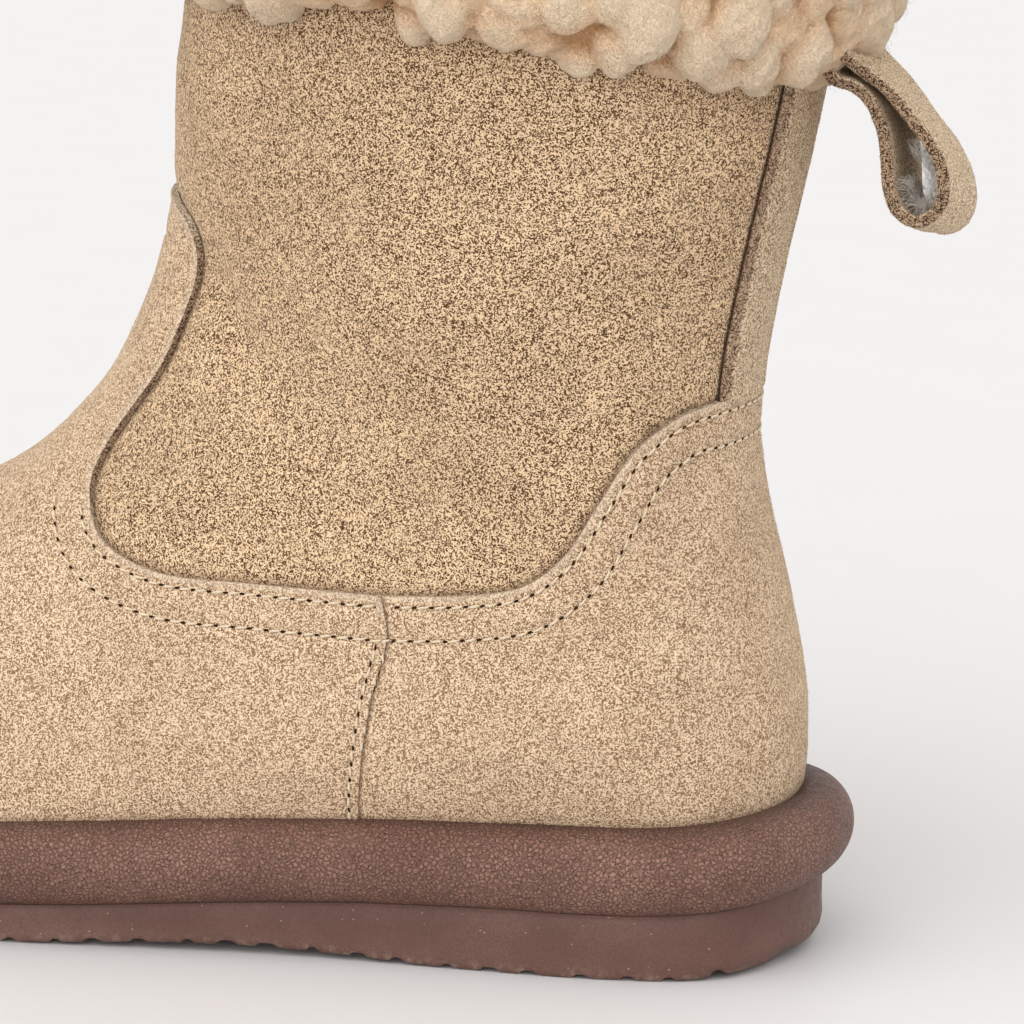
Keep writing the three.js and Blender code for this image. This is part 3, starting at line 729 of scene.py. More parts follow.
def outsole_rubber():
    """Smoother, redder rubber with mould marks, paler in patches where it meets the floor."""
    s = Shading("outsole_rubber", Roughness=0.48, Specular_IOR_Level=0.4)
    broad = s.noise(18, detail=3.0)
    fine = s.noise(0.5)
    blotches = s.noise(2.2, detail=4.0, roughness=0.7)
    base = s.mix(s.ramp(broad, 0.35, 0.7), "outsole, darker", "outsole, lighter")
    # Paler in patches over the lowest few millimetres, near the floor.
    paler_near_floor = s.math("MULTIPLY", s.attribute("shade"), s.ramp(blotches, 0.45, 0.7))
    base = s.mix(paler_near_floor, base, "outsole, paler near the floor")
    base = s.layer(base, "outsole's pores", fine, 0.4, 0.55, 0.3, 0.0)
    base = s.layer(base, "outsole's speck", s.cells(2.3), 0.05, 0.085, 0.8, 0.0)
    return s.finish(base, [(broad, 0.35), (fine, 0.05)], s.ramp(blotches, 0.35, 0.7, 0.42, 0.62))


def thread():
    s = Shading("thread", Roughness=0.75, Sheen_Weight=0.3, Specular_IOR_Level=0.25)
    strands = s.noise(0.22, distortion=1.0)
    base = s.mix(s.ramp(strands, 0.35, 0.65), "thread, darker", "thread, lighter")
    return s.finish(base, [(strands, 0.12)])


def needle_hole_shade():
    # Painted shade: needle holes are flat dark discs laid on the suede, mottled a little lighter.
    s = Shading("needle_hole_shade", Roughness=1.0, Specular_IOR_Level=0.05)
    shade_mottle = s.noise(0.3)
    return s.finish(s.mix(s.ramp(shade_mottle, 0.3, 0.7), "hole", "hole's shade, lighter"), [(shade_mottle, 0.1)])


def floor_material():
    s = Shading("floor_paint", Roughness=0.55, Specular_IOR_Level=0.3)
    mottle = s.noise(60)
    return s.finish(s.mix(mottle, "floor, darker", "floor, lighter"), [(mottle, 0.02)])


MATERIAL = {
    "shaft": suede("shaft_nap", (252, 219, 178), (196, 163, 127), (90, 59, 34),
                   (220, 198, 166), 1.0),
    "panel": suede("panel_nap", (252, 224, 190), (212, 183, 149), (138, 104, 74),
                   (224, 208, 186), 0.95),
    # Strap and back strip: their own suede colours, painted lighter to make up for the shade they
    # lie in.
    "strap": suede("strap_nap_painted_lighter", (255, 234, 200), (224, 194, 160), (144, 108, 78),
                   (236, 214, 184), 1.0),
    "cuff": fleece("cuff_fleece", (255, 231, 199), (255, 217, 178), (208, 150, 96)),
    "wool": fleece("wool_fibres", (255, 238, 212), (255, 230, 198), (244, 202, 158)),
    "white_wool": fleece("white_wool", (255, 252, 244), (255, 248, 238), (240, 230, 216)),
    "lining": fleece("lining_fleece", (238, 222, 194), (222, 200, 166), (166, 132, 94)),
    "roll": roll_rubber(),
    "outsole": outsole_rubber(),
    "thread": thread(),
    "hole": needle_hole_shade(),
}


# ---- Pieces from arrays ----
def add_piece(name, points, faces, material, slot=None, replaces=(), **attributes):
    """A smooth mesh from points in millimetres and arrays of faces, riding on the boot."""
    mesh = bpy.data.meshes.new(name)
    faces = [np.asarray(block, np.int32) for block in faces if len(block)]
    corners = np.concatenate([block.ravel() for block in faces])
    sizes = np.concatenate([np.full(len(block), block.shape[1]) for block in faces])
    mesh.vertices.add(len(points))
    mesh.vertices.foreach_set("co", to_frame(points).astype(np.float32).ravel())
    mesh.loops.add(len(corners))
    mesh.loops.foreach_set("vertex_index", corners)
    mesh.polygons.add(len(sizes))
    mesh.polygons.foreach_set(
        "loop_start", np.concatenate([[0], np.cumsum(sizes)[:-1]]).astype(np.int32))
    mesh.polygons.foreach_set("use_smooth", np.ones(len(sizes), bool))
    for key, values in attributes.items():
        attribute = mesh.attributes.new(key, "FLOAT", "POINT")
        attribute.data.foreach_set("value", np.asarray(values, np.float32))
    mesh.update(calc_edges=True)
    mesh.validate()
    mesh.materials.append(MATERIAL[material])
    piece = add_object(name, mesh)
    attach(piece, "root")
    if replaces:
        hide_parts(*replaces)
    return piece


def border_edges(triangles):
    """Edges that only one triangle has, in that triangle's direction."""
    edges = np.concatenate([triangles[:, [0, 1]], triangles[:, [1, 2]], triangles[:, [2, 0]]])
    keys = np.sort(edges, axis=1)
    _, index, count = np.unique(keys, axis=0, return_index=True, return_counts=True)
    return edges[index[count == 1]]


def with_skirt(points, triangles, dropped):
    """Adds a crisp strip from each border edge to the same points moved to their dropped place.
    Also gives the border points' numbers; the strip's own points follow in two runs of them."""
    edges = border_edges(triangles)
    rim, index = np.unique(edges, return_inverse=True)
    upper = index.reshape(-1, 2) + len(points)
    lower = upper + len(rim)
    quads = np.stack([upper[:, 1], upper[:, 0], lower[:, 0], lower[:, 1]], 1)
    return np.vstack([points, points[rim], dropped[rim]]), quads, rim


def with_strip(values, rim, on_strip=None):
    """A skin's values, then its strip's: one number, or else the values on the border."""
    return np.append(values, np.tile(values[rim], 2) if on_strip is None
                     else np.full(2 * len(rim), on_strip))


# ---- Panels of suede ----
EDGE, SEAM = 0, 1               # which of a panel's two distances
NEAR = 14.0                     # distance up to which the lean of the surface counts
STEEPEST = 0.18                 # least squared share of the surface seen from the side
CELL = 1.16                     # mesh of the skins
SEAM_LAP = 0.6                  # how far the vamp laps over the heel counter
ROLL_TUCK = 4.0                 # how far the suede goes down behind the roll
EDGE_ROUND = 0.9                # width over which a cut edge rounds off
STITCH_ROWS = (2.1, 8.7)        # distances of the two rows from a cut edge
SEAM_ROW = 1.9                  # and of the single row from the side seam
BESIDE_ROWS = 0.8               # how far that row ends from the two
ROWS_END = 88.0                 # height up to which the vamp's two rows show
CUT_SHARE, LAP_SHARE = 0.72, 0.75       # of a panel's thickness at its cut edge and its lap
PRESSED, PRESSED_WIDTH = 0.26, 0.7      # how deep and wide a row of stitches presses it in
FULL, FULL_WIDTH = 0.18, 2.0            # how far it swells between the rows
RIDGE, SINK = 0.30, 0.55                # how far the lap stands up, and the other side sinks
NO_EDGE = 9.0                   # "edge" of suede that is nowhere near a cut edge
STITCH_BED = 1.16               # height of the thread's bed over the last
STITCH = 3.5                    # length of a stitch with its hole
SHORTEST = 20                   # fewest points of a line that gets stitches
HIDDEN = 6.0                    # how far the shaft's suede goes on under a panel
PANEL_UNDER, SHAFT_UNDER = 0.4, 1.2     # how far the strips round the skins reach down
LIP = 2.4                       # how much nearer to a cut edge the vamp's lap counts
FIBRES = {   # number of stray fibres
    "panel": 9000, "panel's edge": 5000, "shaft": 12000, "strip": 5000, "strap": 7000,
    "strap's edge": 4000, "loop": 1000, "cuff": 10000}
SHADE = {    # how dark the suede is beside or under something, and on the strap's inner face
    "seam": 0.55, "roll": 0.45, "panel": 0.4, "cuff": 0.08, "strip": 0.3, "strip's fold": 0.10,
    "strip's edge": 0.90, "strap inside": 0.06}
PANEL_LINES = ((EDGE, (0.35, 0.9, 2.1, 3.0, 7.9, 8.7, 9.5)), (SEAM, (0.4, 0.9, 1.9, 2.8)))
SHAFT_LINES = (-2.6, -1.2, -0.3)


class Panel:
    """Suede laid over the shaft inside a side outline."""

    def __init__(self, edge, seam_shift, far, ahead):
        self.edge = curve_through(edge, 120)
        self.seam = curve_through(np.array(SIDE_SEAM, float) + (seam_shift, 0), 40)
        self.outline = np.vstack([self.edge, self.seam, far] if ahead
                                 else [self.seam[::-1], self.edge, far])

    def distances(self, net):
        """Distances on the surface to the cut edge and to the seam, above 0 inside the panel."""
        flat, normals = net.points()[:, [0, 2]], net.normals()[:, [0, 2]]
        inside = np.where(inside_outline(flat, self.outline), 1.0, -1.0)
        step = 0.4
        found = []
        for line in (self.edge, self.seam):
            value = distance_to_line(flat, line)
            near = value < NEAR
            gradient = np.zeros((len(flat), 2))
            for k, shift in enumerate(((step, 0), (0, step))):
                gradient[near, k] = (distance_to_line(flat[near] + shift, line)
                                     - distance_to_line(flat[near] - shift, line)) / (2 * step)
            lean = np.einsum("ij,ij->i", gradient, normals)
            found.append(inside * value / np.sqrt(np.clip(1 - lean ** 2, STEEPEST, 1)))
        return found

    def at(self, which, distance):
        """Field that is nought at a distance from the cut edge or from the seam."""
        return lambda net: self.distances(net)[which] - distance

    def inside(self, net):
        """Distance to the nearer of the cut edge and the seam, above 0 inside."""
        to_edge, to_seam = self.distances(net)
        return np.sign(to_edge) * np.minimum(np.abs(to_edge), np.abs(to_seam))


VAMP = Panel(VAMP_EDGE, -SEAM_LAP, [(FAR_AHEAD, 10), (FAR_AHEAD, 151)], True)
COUNTER = Panel(COUNTER_EDGE, 0.0, [(FAR_BEHIND, 113.4), (FAR_BEHIND, 10)], False)


def above_roll(net):
    points = net.points()
    return points[:, 2] - (joint(points[:, 0]) + ROLL_HEIGHT - ROLL_TUCK)


def panel_height(to_edge, to_seam, lap):
    """Thickness of a panel: rounded at its cut edge, pressed down under its stitches and full
    between the rows. At the seam one that laps ends in a low ridge, and the other sinks."""
    height = PANEL * (CUT_SHARE + (1 - CUT_SHARE) * quarter_round(to_edge / EDGE_ROUND))
    for row in STITCH_ROWS:
        height -= PRESSED * hump(to_edge - row, PRESSED_WIDTH)
    height += FULL * hump(to_edge - sum(STITCH_ROWS) / 2, FULL_WIDTH)
    if lap:
        height *= LAP_SHARE + (1 - LAP_SHARE) * quarter_round(to_seam / 0.8)
        height -= PRESSED * hump(to_seam - SEAM_ROW, 0.6) * ease(to_edge, 8, 9)
        height += RIDGE * ease(to_seam, 1.6, 0.8)
    else:
        height -= SINK * ease(to_seam, 2.4, 0.0)
    return height


def panel_net(panel, first_row, last_row):
    """The panel's net, and the lines its stitches follow."""
    net = even_net(first_row, last_row, CELL, -GAP)
    net.cut(above_roll)
    net.cut(panel.inside)
    lines = stitch_lines(panel, net)
    for which, distances in PANEL_LINES:
        for distance in distances:
            net.cut(panel.at(which, distance), drop=False)
    return net, lines


def part_of_line(line, keeps):
    """The part of a line of rows and turns whose points pass a test."""
    row, turn = line
    kept = keeps(last_point(row, turn, -GAP))
    return row[kept], turn[kept]


def stitch_lines(panel, net):
    """Rows of stitches on a panel: two beside its cut edge and, on the vamp, one by the seam."""
    lines = [line for row in STITCH_ROWS for line in net.lines(panel.at(EDGE, row))]
    if panel is VAMP:
        lines = [part_of_line(line, lambda p: p[:, 2] < ROWS_END) for line in lines]
        lines += [part_of_line(line, lambda p: distance_to_line(p[:, [0, 2]], panel.edge)
                               > STITCH_ROWS[1] + BESIDE_ROWS)
                  for line in net.lines(panel.at(SEAM, SEAM_ROW))]
    return [line for line in lines if len(line[0]) > SHORTEST]


def make_panel(name, panel, net, lap, slot):
    to_edge, to_seam = panel.distances(net)
    points, normals = net.points(), net.normals()
    relief = suede_relief(points)
    height = panel_height(np.maximum(to_edge, 0), np.maximum(to_seam, 0), lap)
    top = points + normals * (relief + height)[:, None]
    base = points + normals * (relief - PANEL_UNDER)[:, None]
    made, quads, rim = with_skirt(top, net.triangles, base)
    lip = LIP * ease(to_seam, 1.9, 1.2) if lap else 0.0
    seam_shade = 0.0 if lap else SHADE["seam"] * ease(to_seam, 1.5, 0.7)
    roll_shade = SHADE["roll"] * ease(above_roll(net), ROLL_TUCK + 1.8, ROLL_TUCK - 0.5)
    rng = np.random.default_rng(61)
    roots, up = scatter(top, net.triangles, normals, FIBRES["panel"], rng)
    fringe = rng.choice(rim, FIBRES["panel's edge"])
    along_edge = top[fringe] + rng.normal(0, 0.2, (len(fringe), 3)) - normals[fringe] * 0.3
    add_nap(name + "_nap", np.vstack([roots, along_edge]), np.vstack([up, normals[fringe]]), rng,
            "panel", slot)
    add_piece(
        name + "_suede", made, [net.triangles, quads], "panel", slot, (name,),
        edge=with_strip(np.maximum(np.minimum(to_edge, 4.0) - lip, 0), rim, 0.0),
        shade=with_strip(np.maximum(seam_shade, roll_shade), rim),
        cut=with_strip(np.zeros(len(top)), rim, 1.0))


def make_shaft():
    """The outer suede of the upper, where no panel hides it deeply."""
    net = even_net(3.5, RIM_ROW, CELL, 0)
    net.cut(above_roll)
    for panel in (VAMP, COUNTER):
        net.cut(lambda n, p=panel: HIDDEN - p.distances(n)[EDGE])
    for panel in (VAMP, COUNTER):
        for distance in SHAFT_LINES:
            net.cut(panel.at(EDGE, distance), drop=False)
    points, normals = net.points(), net.normals()
    near = np.minimum(-VAMP.distances(net)[EDGE], -COUNTER.distances(net)[EDGE])
    sunk = -0.35 * ease(near, 2.2, 0.2)
    made = points + normals * (suede_relief(points) + sunk)[:, None]
    made, quads, rim = with_skirt(made, net.triangles, points - normals * SHAFT_UNDER)
    rng = np.random.default_rng(62)
    roots, up = scatter(made, net.triangles, normals, FIBRES["shaft"], rng)
    add_nap("shaft_nap", roots, up, rng, "shaft", "shaft_suede")
    shade = np.maximum.reduce([
        SHADE["panel"] * ease(near, 1.5, 0.1),
        SHADE["cuff"] * ease(points[:, 2] - cuff_foot(points), -14, 2),
        SHADE["strip"] * strip_line(points)])
    add_piece("shaft_suede", made, [net.triangles, quads], "shaft", "shaft_suede", ("upper",),
              edge=np.full(len(made), NO_EDGE), shade=with_strip(shade, rim))


def strip_line(points):
    """1 along the seam line beside the back strip, where painted shade darkens the suede."""
    behind = points[:, 0] < 70
    return (behind * hump(np.abs(points[:, 1]) - STRIP_HALF - 0.2, 0.5)
            * ease(points[:, 2], 100, 114))


def cuff_height(ends, ahead):
    """Height of the cuff's foot or top from the back (-1) to the front (1) of the shaft."""
    return ends["back"] + (ends["front"] - ends["back"]) * ease(ahead, -1, 0.5)


def cuff_foot(points):
    return cuff_height(CUFF_FOOT, np.clip((points[:, 0] - 10) / 125, 0, 1) * 2 - 1)


# ---- Stitches ----
THREAD_END, THREAD_SWELL = 0.13, 0.14    # radius at the ends, and how much more in the middle
THREAD_ARCH, THREAD_SUNK = 0.46, 0.22    # height of its middle over its ends, and their depth
THREAD_SLANT = 0.28                      # how far a stitch goes to the side
THREAD_FROM, THREAD_SHORT = 0.45, 0.75   # room before and after it
HOLE_LONG, HOLE_WIDE = 0.56, 0.27        # half sizes of a needle hole
HOLE_RIM, HOLE_MIDDLE = 0.06, 0.02       # and how high they lie
HOLE_BACK = 0.1                          # how far before the next stitch it is


def tube_blocks(paths, radii, sides):
    """Closed tubes along paths of as many points each: points, quads and the ends' polygons."""
    tubes, count, _ = paths.shape
    tangent = unit(np.gradient(paths, axis=1))
    helper = np.where(np.abs(tangent[..., 2:3]) < 0.9, (0, 0, 1.0), (1.0, 0, 0))
    side = unit(np.cross(tangent, helper))
    other = np.cross(tangent, side)
    angle = 2 * np.pi * np.arange(sides) / sides
    ring = (side[:, :, None] * np.cos(angle)[:, None] + other[:, :, None] * np.sin(angle)[:, None])
    points = (paths[:, :, None] + ring * radii[:, :, None, None]).reshape(-1, 3)
    index = np.arange(tubes * count * sides).reshape(tubes, count, sides)
    near = np.roll(index, -1, axis=2)
    quads = np.stack([index[:, :-1], near[:, :-1], near[:, 1:], index[:, 1:]], -1).reshape(-1, 4)
    caps = np.concatenate([index[:, 0, ::-1], index[:, -1]])
    return points, quads, caps


def stitch_places(lines):
    """Paths and normals of the stitches along lines of rows and turns, and their holes."""
    places = []
    for row, turn in lines:
        turn = np.unwrap(turn)
        points, normals = last_point(row, turn, -GAP), last_normal(row, turn, -GAP)
        points = points + normals * (suede_relief(points) + STITCH_BED)[:, None]
        gone = lengths_along(points)
        if gone[-1] < 3 * STITCH:
            continue
        starts = np.arange(0.5, gone[-1] - STITCH, STITCH)
        at = starts[:, None] + np.linspace(THREAD_FROM, STITCH - THREAD_SHORT, 7)
        places.append((values_at(at, gone, points), unit(values_at(at, gone, normals)),
                       values_at(starts + STITCH - HOLE_BACK, gone, points)))
    return [np.concatenate(runs) for runs in zip(*places)]


def add_stitches(name, path, normal, hole, slot):
    """Thread arched over the suede between needle holes, as two joined meshes."""
    share = np.linspace(0, 1, path.shape[1])
    arch = THREAD_ARCH * np.sin(np.pi * share) ** 0.6 - THREAD_SUNK
    aside = np.cross(normal, unit(np.gradient(path, axis=1)))
    slant = aside * (THREAD_SLANT * (share - 0.5))[:, None]
    path = path + normal * arch[None, :, None] + slant
    thickness = THREAD_END + THREAD_SWELL * np.sin(np.pi * share) ** 0.5
    points, quads, caps = tube_blocks(path, np.broadcast_to(thickness, path.shape[:2]), 6)
    add_piece(name, points, [quads, caps], "thread", slot)
    # Needle holes: flat dark discs on the suede, painted shade where the holes go in.
    along, up = unit(path[:, -1] - path[:, 0]), normal[:, -1]
    across = np.cross(up, along)
    sides = 9
    angle = 2 * np.pi * np.arange(sides) / sides
    ring = (along[:, None] * np.cos(angle)[:, None] * HOLE_LONG
            + across[:, None] * np.sin(angle)[:, None] * HOLE_WIDE)
    rim = hole[:, None] + ring + up[:, None] * HOLE_RIM
    centre = hole[:, None] + up[:, None] * HOLE_MIDDLE
    index = np.arange(len(hole) * (sides + 1)).reshape(len(hole), -1)
    first = index[:, :-1]
    fans = np.stack([first, np.roll(first, -1, axis=1),
                     np.broadcast_to(index[:, -1:], first.shape)], -1).reshape(-1, 3)
    add_piece(name + "_hole_shade", np.concatenate([rim, centre], axis=1).reshape(-1, 3), [fans],
              "hole", slot)


# ---- Strip up the back ----
STRIP_PROFILE = np.array([      # distance from the middle, as a share of the half width, and height
    (0.0, 1.25), (0.25, 1.25), (0.5, 1.22), (0.66, 1.15), (0.72, 1.12), (0.75, 1.35),
    (0.78, 1.60), (0.81, 1.45), (0.84, 1.00), (0.88, 0.92), (0.95, 0.85), (0.965, 0.75),
    (0.98, 0.20), (1.0, 0.05)])
STRIP_FOLD = 0.775              # where the raised fold is


def row_at(column, value):
    rows = np.linspace(HEEL_ROW, TOP_ROW + 1, 600)
    return np.interp(value, column_at(column, rows), rows)


def back_turn(row, y):
    """Turn at which a section is y wide behind."""
    half = column_at("outer", row)
    power = column_at("low", row)
    return np.arcsin(np.clip(np.abs(y) / half, 0, 1) ** (power / 2)) * np.sign(y)


def make_back_strip():
    z = np.linspace(STRIP["bottom"] - 2.5, STRIP["top"], 110)
    half = np.append(np.linspace(0, 0.955, 26) ** 0.9, (0.97, 0.98, 0.99, 1.0))
    shares = np.concatenate([-half[:0:-1], half])
    height = np.interp(np.abs(shares), *STRIP_PROFILE.T)
    turn = back_turn(row_at("backZ", z)[:, None], shares[None] * STRIP_HALF)
    row = np.broadcast_to(row_at("backZ", z)[:, None], turn.shape)
    points = last_point(row, turn, -GAP).reshape(-1, 3)
    normals = last_normal(row, turn, -GAP).reshape(-1, 3)
    across = np.tile(np.abs(shares), len(z))
    lift = np.tile(height, len(z)) + 0.12 * SUEDE_WAVES(points + 40, 6.0) * (across < 0.9)
    made = points + normals * (suede_relief(points) + lift)[:, None]
    triangles = grid_triangles(np.arange(len(made)).reshape(len(z), -1), closed=False)
    rng = np.random.default_rng(63)
    roots, up = scatter(made, triangles, normals, FIBRES["strip"], rng)
    add_nap("back_strip_nap", roots, up, rng, "strap", "shaft_suede")
    beside_fold = ease(across, 0.80, 0.84)
    add_piece("back_strip_suede", made, [triangles], "strap", "shaft_suede", ("back_strip",),
              edge=NO_EDGE - 8.6 * hump(across - STRIP_FOLD, 0.025),
              shade=(SHADE["strip's fold"] * beside_fold
                     + SHADE["strip's edge"] * ease(across, 0.968, 0.982)),
              cut=0.85 * beside_fold)


# ---- Pull loop ----
ON_CUT = 0.999                  # share of the strap's half width from which a point is on its cut
NEAR_CUT = 0.97                 # and from which stray fibres stand on its edge
STRAP_MESH = {"along": 190, "across": 36, "edge": 9}
STRAP_TRIM, STRAP_THIN = 0.7, 0.1       # how much narrower and thinner its mesh is at each side
CROWN = 0.175                   # how much its middle stands proud
WANDER = ((0.35, 9, 0), (0.2, 23, 1))   # size, turns and start of its edges' unevenness


def strap_section(steps_across, steps_edge):
    """Rounded section of the strap as (across, through) from -1 to 1, with the groove between its
    two plies along each cut edge."""
    across = np.linspace(-1, 1, steps_across)
    angle = np.linspace(np.pi / 2, -np.pi / 2, steps_edge)
    edge = np.stack([1 + 0.045 * np.cos(angle) - 0.035 * hump(np.sin(angle), 0.22),
                     np.sin(angle)], 1)
    top = np.stack([across, np.ones(steps_across)], 1)[1:-1]
    return np.vstack([top, edge, top[::-1] * (1, -1), edge[::-1] * (-1, 1)])


def let_sag(points):
    """Lowers the strap's points towards its inner edge."""
    points[:, 2] -= (STRAP_SAG * (0.5 - points[:, 1] / STRAP_WIDTH)
                     * ease(points[:, 0], SAG_FROM, SAG_TO))


def make_pull_loop():
    count = STRAP_MESH["along"]
    line = curve_through(STRAP_PATH, count)
    centre = np.stack([line[:, 0], np.zeros(count), line[:, 1]], 1)
    outward = np.cross(unit(np.gradient(centre, axis=0)), (0, 1.0, 0))
    if outward[count // 3, 0] > 0:
        outward = -outward
    section = strap_section(STRAP_MESH["across"], STRAP_MESH["edge"])
    from_middle = np.abs(section[:, 0])
    share = np.linspace(0, 1, count)
    width = STRAP_WIDTH / 2 - STRAP_TRIM + sum(
        size * np.sin(turns * share + start) for size, turns, start in WANDER)
    through = section[:, 1] * (STRAP / 2 - STRAP_THIN) + CROWN * (1 - section[:, 0] ** 2)
    points = (centre[:, None] + outward[:, None] * through[None, :, None]
              + (width[:, None] * section[:, 0])[..., None] * (0, 1, 0)).reshape(-1, 3)
    lift = waves("strap", Noise(23), points)
    points = points + np.repeat(outward, len(section), axis=0) * lift[:, None]
    let_sag(points)
    index = np.arange(len(points)).reshape(count, len(section))
    triangles = grid_triangles(index)
    on_cut = np.tile(from_middle >= ON_CUT, count)
    inner_face = np.tile(section[:, 1] < -0.99, count)
    from_edge = np.tile((1 - from_middle) * STRAP_WIDTH / 2, count)
    add_piece("pull_loop_strap", points, [triangles, index[:1, ::-1], index[-1:]], "strap",
              "panel_suede", ("pull_loop",), edge=np.where(on_cut, 0.0, 1.2 + from_edge),
              shade=np.where(inner_face & ~on_cut, SHADE["strap inside"], 0.0),
              cut=on_cut.astype(float))
    make_wool_tuft(centre, outward)
    rng = np.random.default_rng(64)
    away = unit(points - np.repeat(centre, len(section), axis=0) * (1, 0, 1)
                - points * (0, 0.9, 0))
    roots, up = scatter(points, triangles, away, FIBRES["strap"], rng)
    edges = np.flatnonzero(np.tile(from_middle >= NEAR_CUT, count))
    rims = rng.choice(edges, FIBRES["strap's edge"])
    add_nap("pull_loop_nap", np.vstack([roots, points[rims]]), np.vstack([up, away[rims]]), rng,
            "strap", "panel_suede")


def make_wool_tuft(centre, outward):
    """Loose white wool caught in the lower end of the loop."""
    rng = np.random.default_rng(29)
    low = (centre[:, 2] < 166) & (np.arange(len(centre)) < 0.62 * len(centre))
    picks = rng.choice(np.flatnonzero(low), FIBRES["loop"])
    inwards = -outward[picks]
    roots = centre[picks] + inwards * STRAP / 2
    roots[:, 1] = rng.uniform(-0.2, 0.86, len(picks)) * STRAP_WIDTH / 2
    let_sag(roots)
    points, quads, share = ribbons(roots, inwards, rng, 6.0, 0.09, 8.0, steps=6)
    add_piece("loop_wool", points, [quads], "white_wool", "fleece_cuff", depth=0.6 + 0.4 * share)


# ---- Wool ----
BEND, SWING = 0.45, 0.30        # how far a fibre bows back and swings aside, for its length


def ribbons(roots, normals, rng, length, width, curl, steps=4, droop=0.0):
    """Curled fibres as narrow strips, a quad to each step: points, quads and shares of length."""
    count = len(roots)
    helper = unit(rng.normal(size=(count, 3)))
    side = unit(np.cross(normals, helper))
    other = np.cross(normals, side)
    phase = rng.uniform(0, 2 * np.pi, count)
    turns = rng.uniform(0.5, 1.0, count) * curl
    size = rng.uniform(0.6, 1.0, count) * length
    share = np.linspace(0, 1, steps + 1)
    angle = phase[:, None] + turns[:, None] * share
    swing = SWING * size[:, None] * share ** 0.8
    rise = size[:, None] * (share - BEND * share ** 2)
    path = (roots[:, None] + normals[:, None] * rise[..., None]
            + side[:, None] * (swing * np.cos(angle))[..., None]
            + other[:, None] * (swing * np.sin(angle))[..., None])
    path[..., 2] -= droop * size[:, None] * share ** 2
    tangent = unit(np.gradient(path, axis=1))
    flat = unit(np.cross(tangent, helper[:, None])) * (width / 2 * (1.05 - share) ** 0.5)[:, None]
    points = np.stack([path - flat, path + flat], 2).reshape(-1, 3)
    index = np.arange(count * (steps + 1) * 2).reshape(count, steps + 1, 2)
    quads = np.stack([index[:, :-1, 0], index[:, :-1, 1], index[:, 1:, 1], index[:, 1:, 0]],
                     -1).reshape(-1, 4)
    return points, quads, np.tile(np.repeat(share, 2), count)


class Locks:
    """Rounded locks of fleece round seed points: how high the pile stands at other points."""

    def __init__(self, seeds, rng, radius, height, stretch, power):
        self.power = power
        self.stretch = np.array((1, 1, stretch))
        self.tree = KDTree(len(seeds))
        for i, seed in enumerate(seeds * self.stretch):
            self.tree.insert(seed, i)
        self.tree.balance()
        self.radius = rng.uniform(*radius, len(seeds))
        self.height = rng.uniform(*height, len(seeds))

    def __call__(self, points):
        found = np.zeros(len(points))
        for k, point in enumerate(points * self.stretch):
            best = 0.0
            for _, i, distance in self.tree.find_n(point, 3):
                share = distance / self.radius[i]
                if share < 1:
                    best = max(best, self.height[i] * (1 - share * share) ** self.power)
            found[k] = best
        return found


CUFF_PLAN, CUFF_SECTION = 2 / 2.15, 2 / 2.8     # how square the cuff is from above and in section


def cuff_surface(turn, angle, shrink):
    """Point of the cuff at a turn round the shaft and an angle round its own section."""
    ahead = signed_power(np.cos(turn), CUFF_PLAN)
    aside = signed_power(np.sin(turn), CUFF_PLAN)
    foot, top = cuff_height(CUFF_FOOT, ahead), cuff_height(CUFF_TOP, ahead)
    middle, half = (CUFF_PROUD - CUFF_INSIDE) / 2, (CUFF_PROUD + CUFF_INSIDE) / 2
    up = signed_power(np.sin(angle), CUFF_SECTION)
    z = (foot + top) / 2 + ((top - foot) / 2 - shrink) * up
    out = middle + (half - shrink) * signed_power(np.cos(angle), CUFF_SECTION)
    tables = (FRONT_EDGE, BACK_EDGE, HALF_WIDTH)
    front, back, half_width = (np.interp(z, *table) for table in tables)
    return np.stack([(front + back) / 2 + ((front - back) / 2 + out) * ahead,
                     (half_width + out) * aside, z], axis=-1)


def edge_tables():
    """Heights, with the last's back and front edges and its half width at them."""
    rows = np.linspace(HEEL_ROW, TOP_ROW + 1, 300)
    back = (column_at("backZ", rows), column_at("backX", rows))
    rows_front = np.linspace(5, TOP_ROW + 1, 300)
    front = (column_at("frontZ", rows_front), column_at("frontX", rows_front))
    z = np.linspace(150, 245, 200)
    middle_row = (np.interp(z, back[0], rows) + np.interp(z, front[0], rows_front)) / 2
    return back, front, (z, column_at("outer", middle_row))


BACK_EDGE, FRONT_EDGE, HALF_WIDTH = edge_tables()
PILE = 5.5                      # height of the cuff's locks
CUFF_MESH = (496, 156)          # points round the shaft and round the section
CUFF_WARP, WARP_WIDTH = 1.7, 6.0        # how far the locks are pushed out of round, and how evenly
CUFF_SWAY, SWAY_WIDTH = 0.7, 14.0       # slow unevenness, drawn out downwards
CUFF_HANG = 2.6                 # how far big locks hang below the cuff's foot
ROOTS = 1.2                     # how deep the trimmed pile's roots are in the CAD surface
LOCKS = {    # spacing, least and most radius, least and most height, stretch up, squareness
    "big": (9.0, (5.0, 6.8), (0.4 * PILE, PILE), 0.75, 0.62),
    "small": (2.9, (1.8, 2.6), (0.5, 1.3), 0.8, 0.6),
    "lining": (6.5, (4.4, 6.2), (0.6, 1.5), 1.0, 0.55),
    "insole": (6.0, (4.2, 6.0), (0.5, 1.4), 1.0, 0.55)}
CUFF_ARC = (math.radians(-112), math.radians(205))   # the part of its section that shows


def grid_normals(points):
    """Normals of a closed-by-columns grid of points."""
    along = np.gradient(points, axis=0)
    around = np.roll(points, -1, axis=1) - np.roll(points, 1, axis=1)
    return unit(np.cross(along, around))


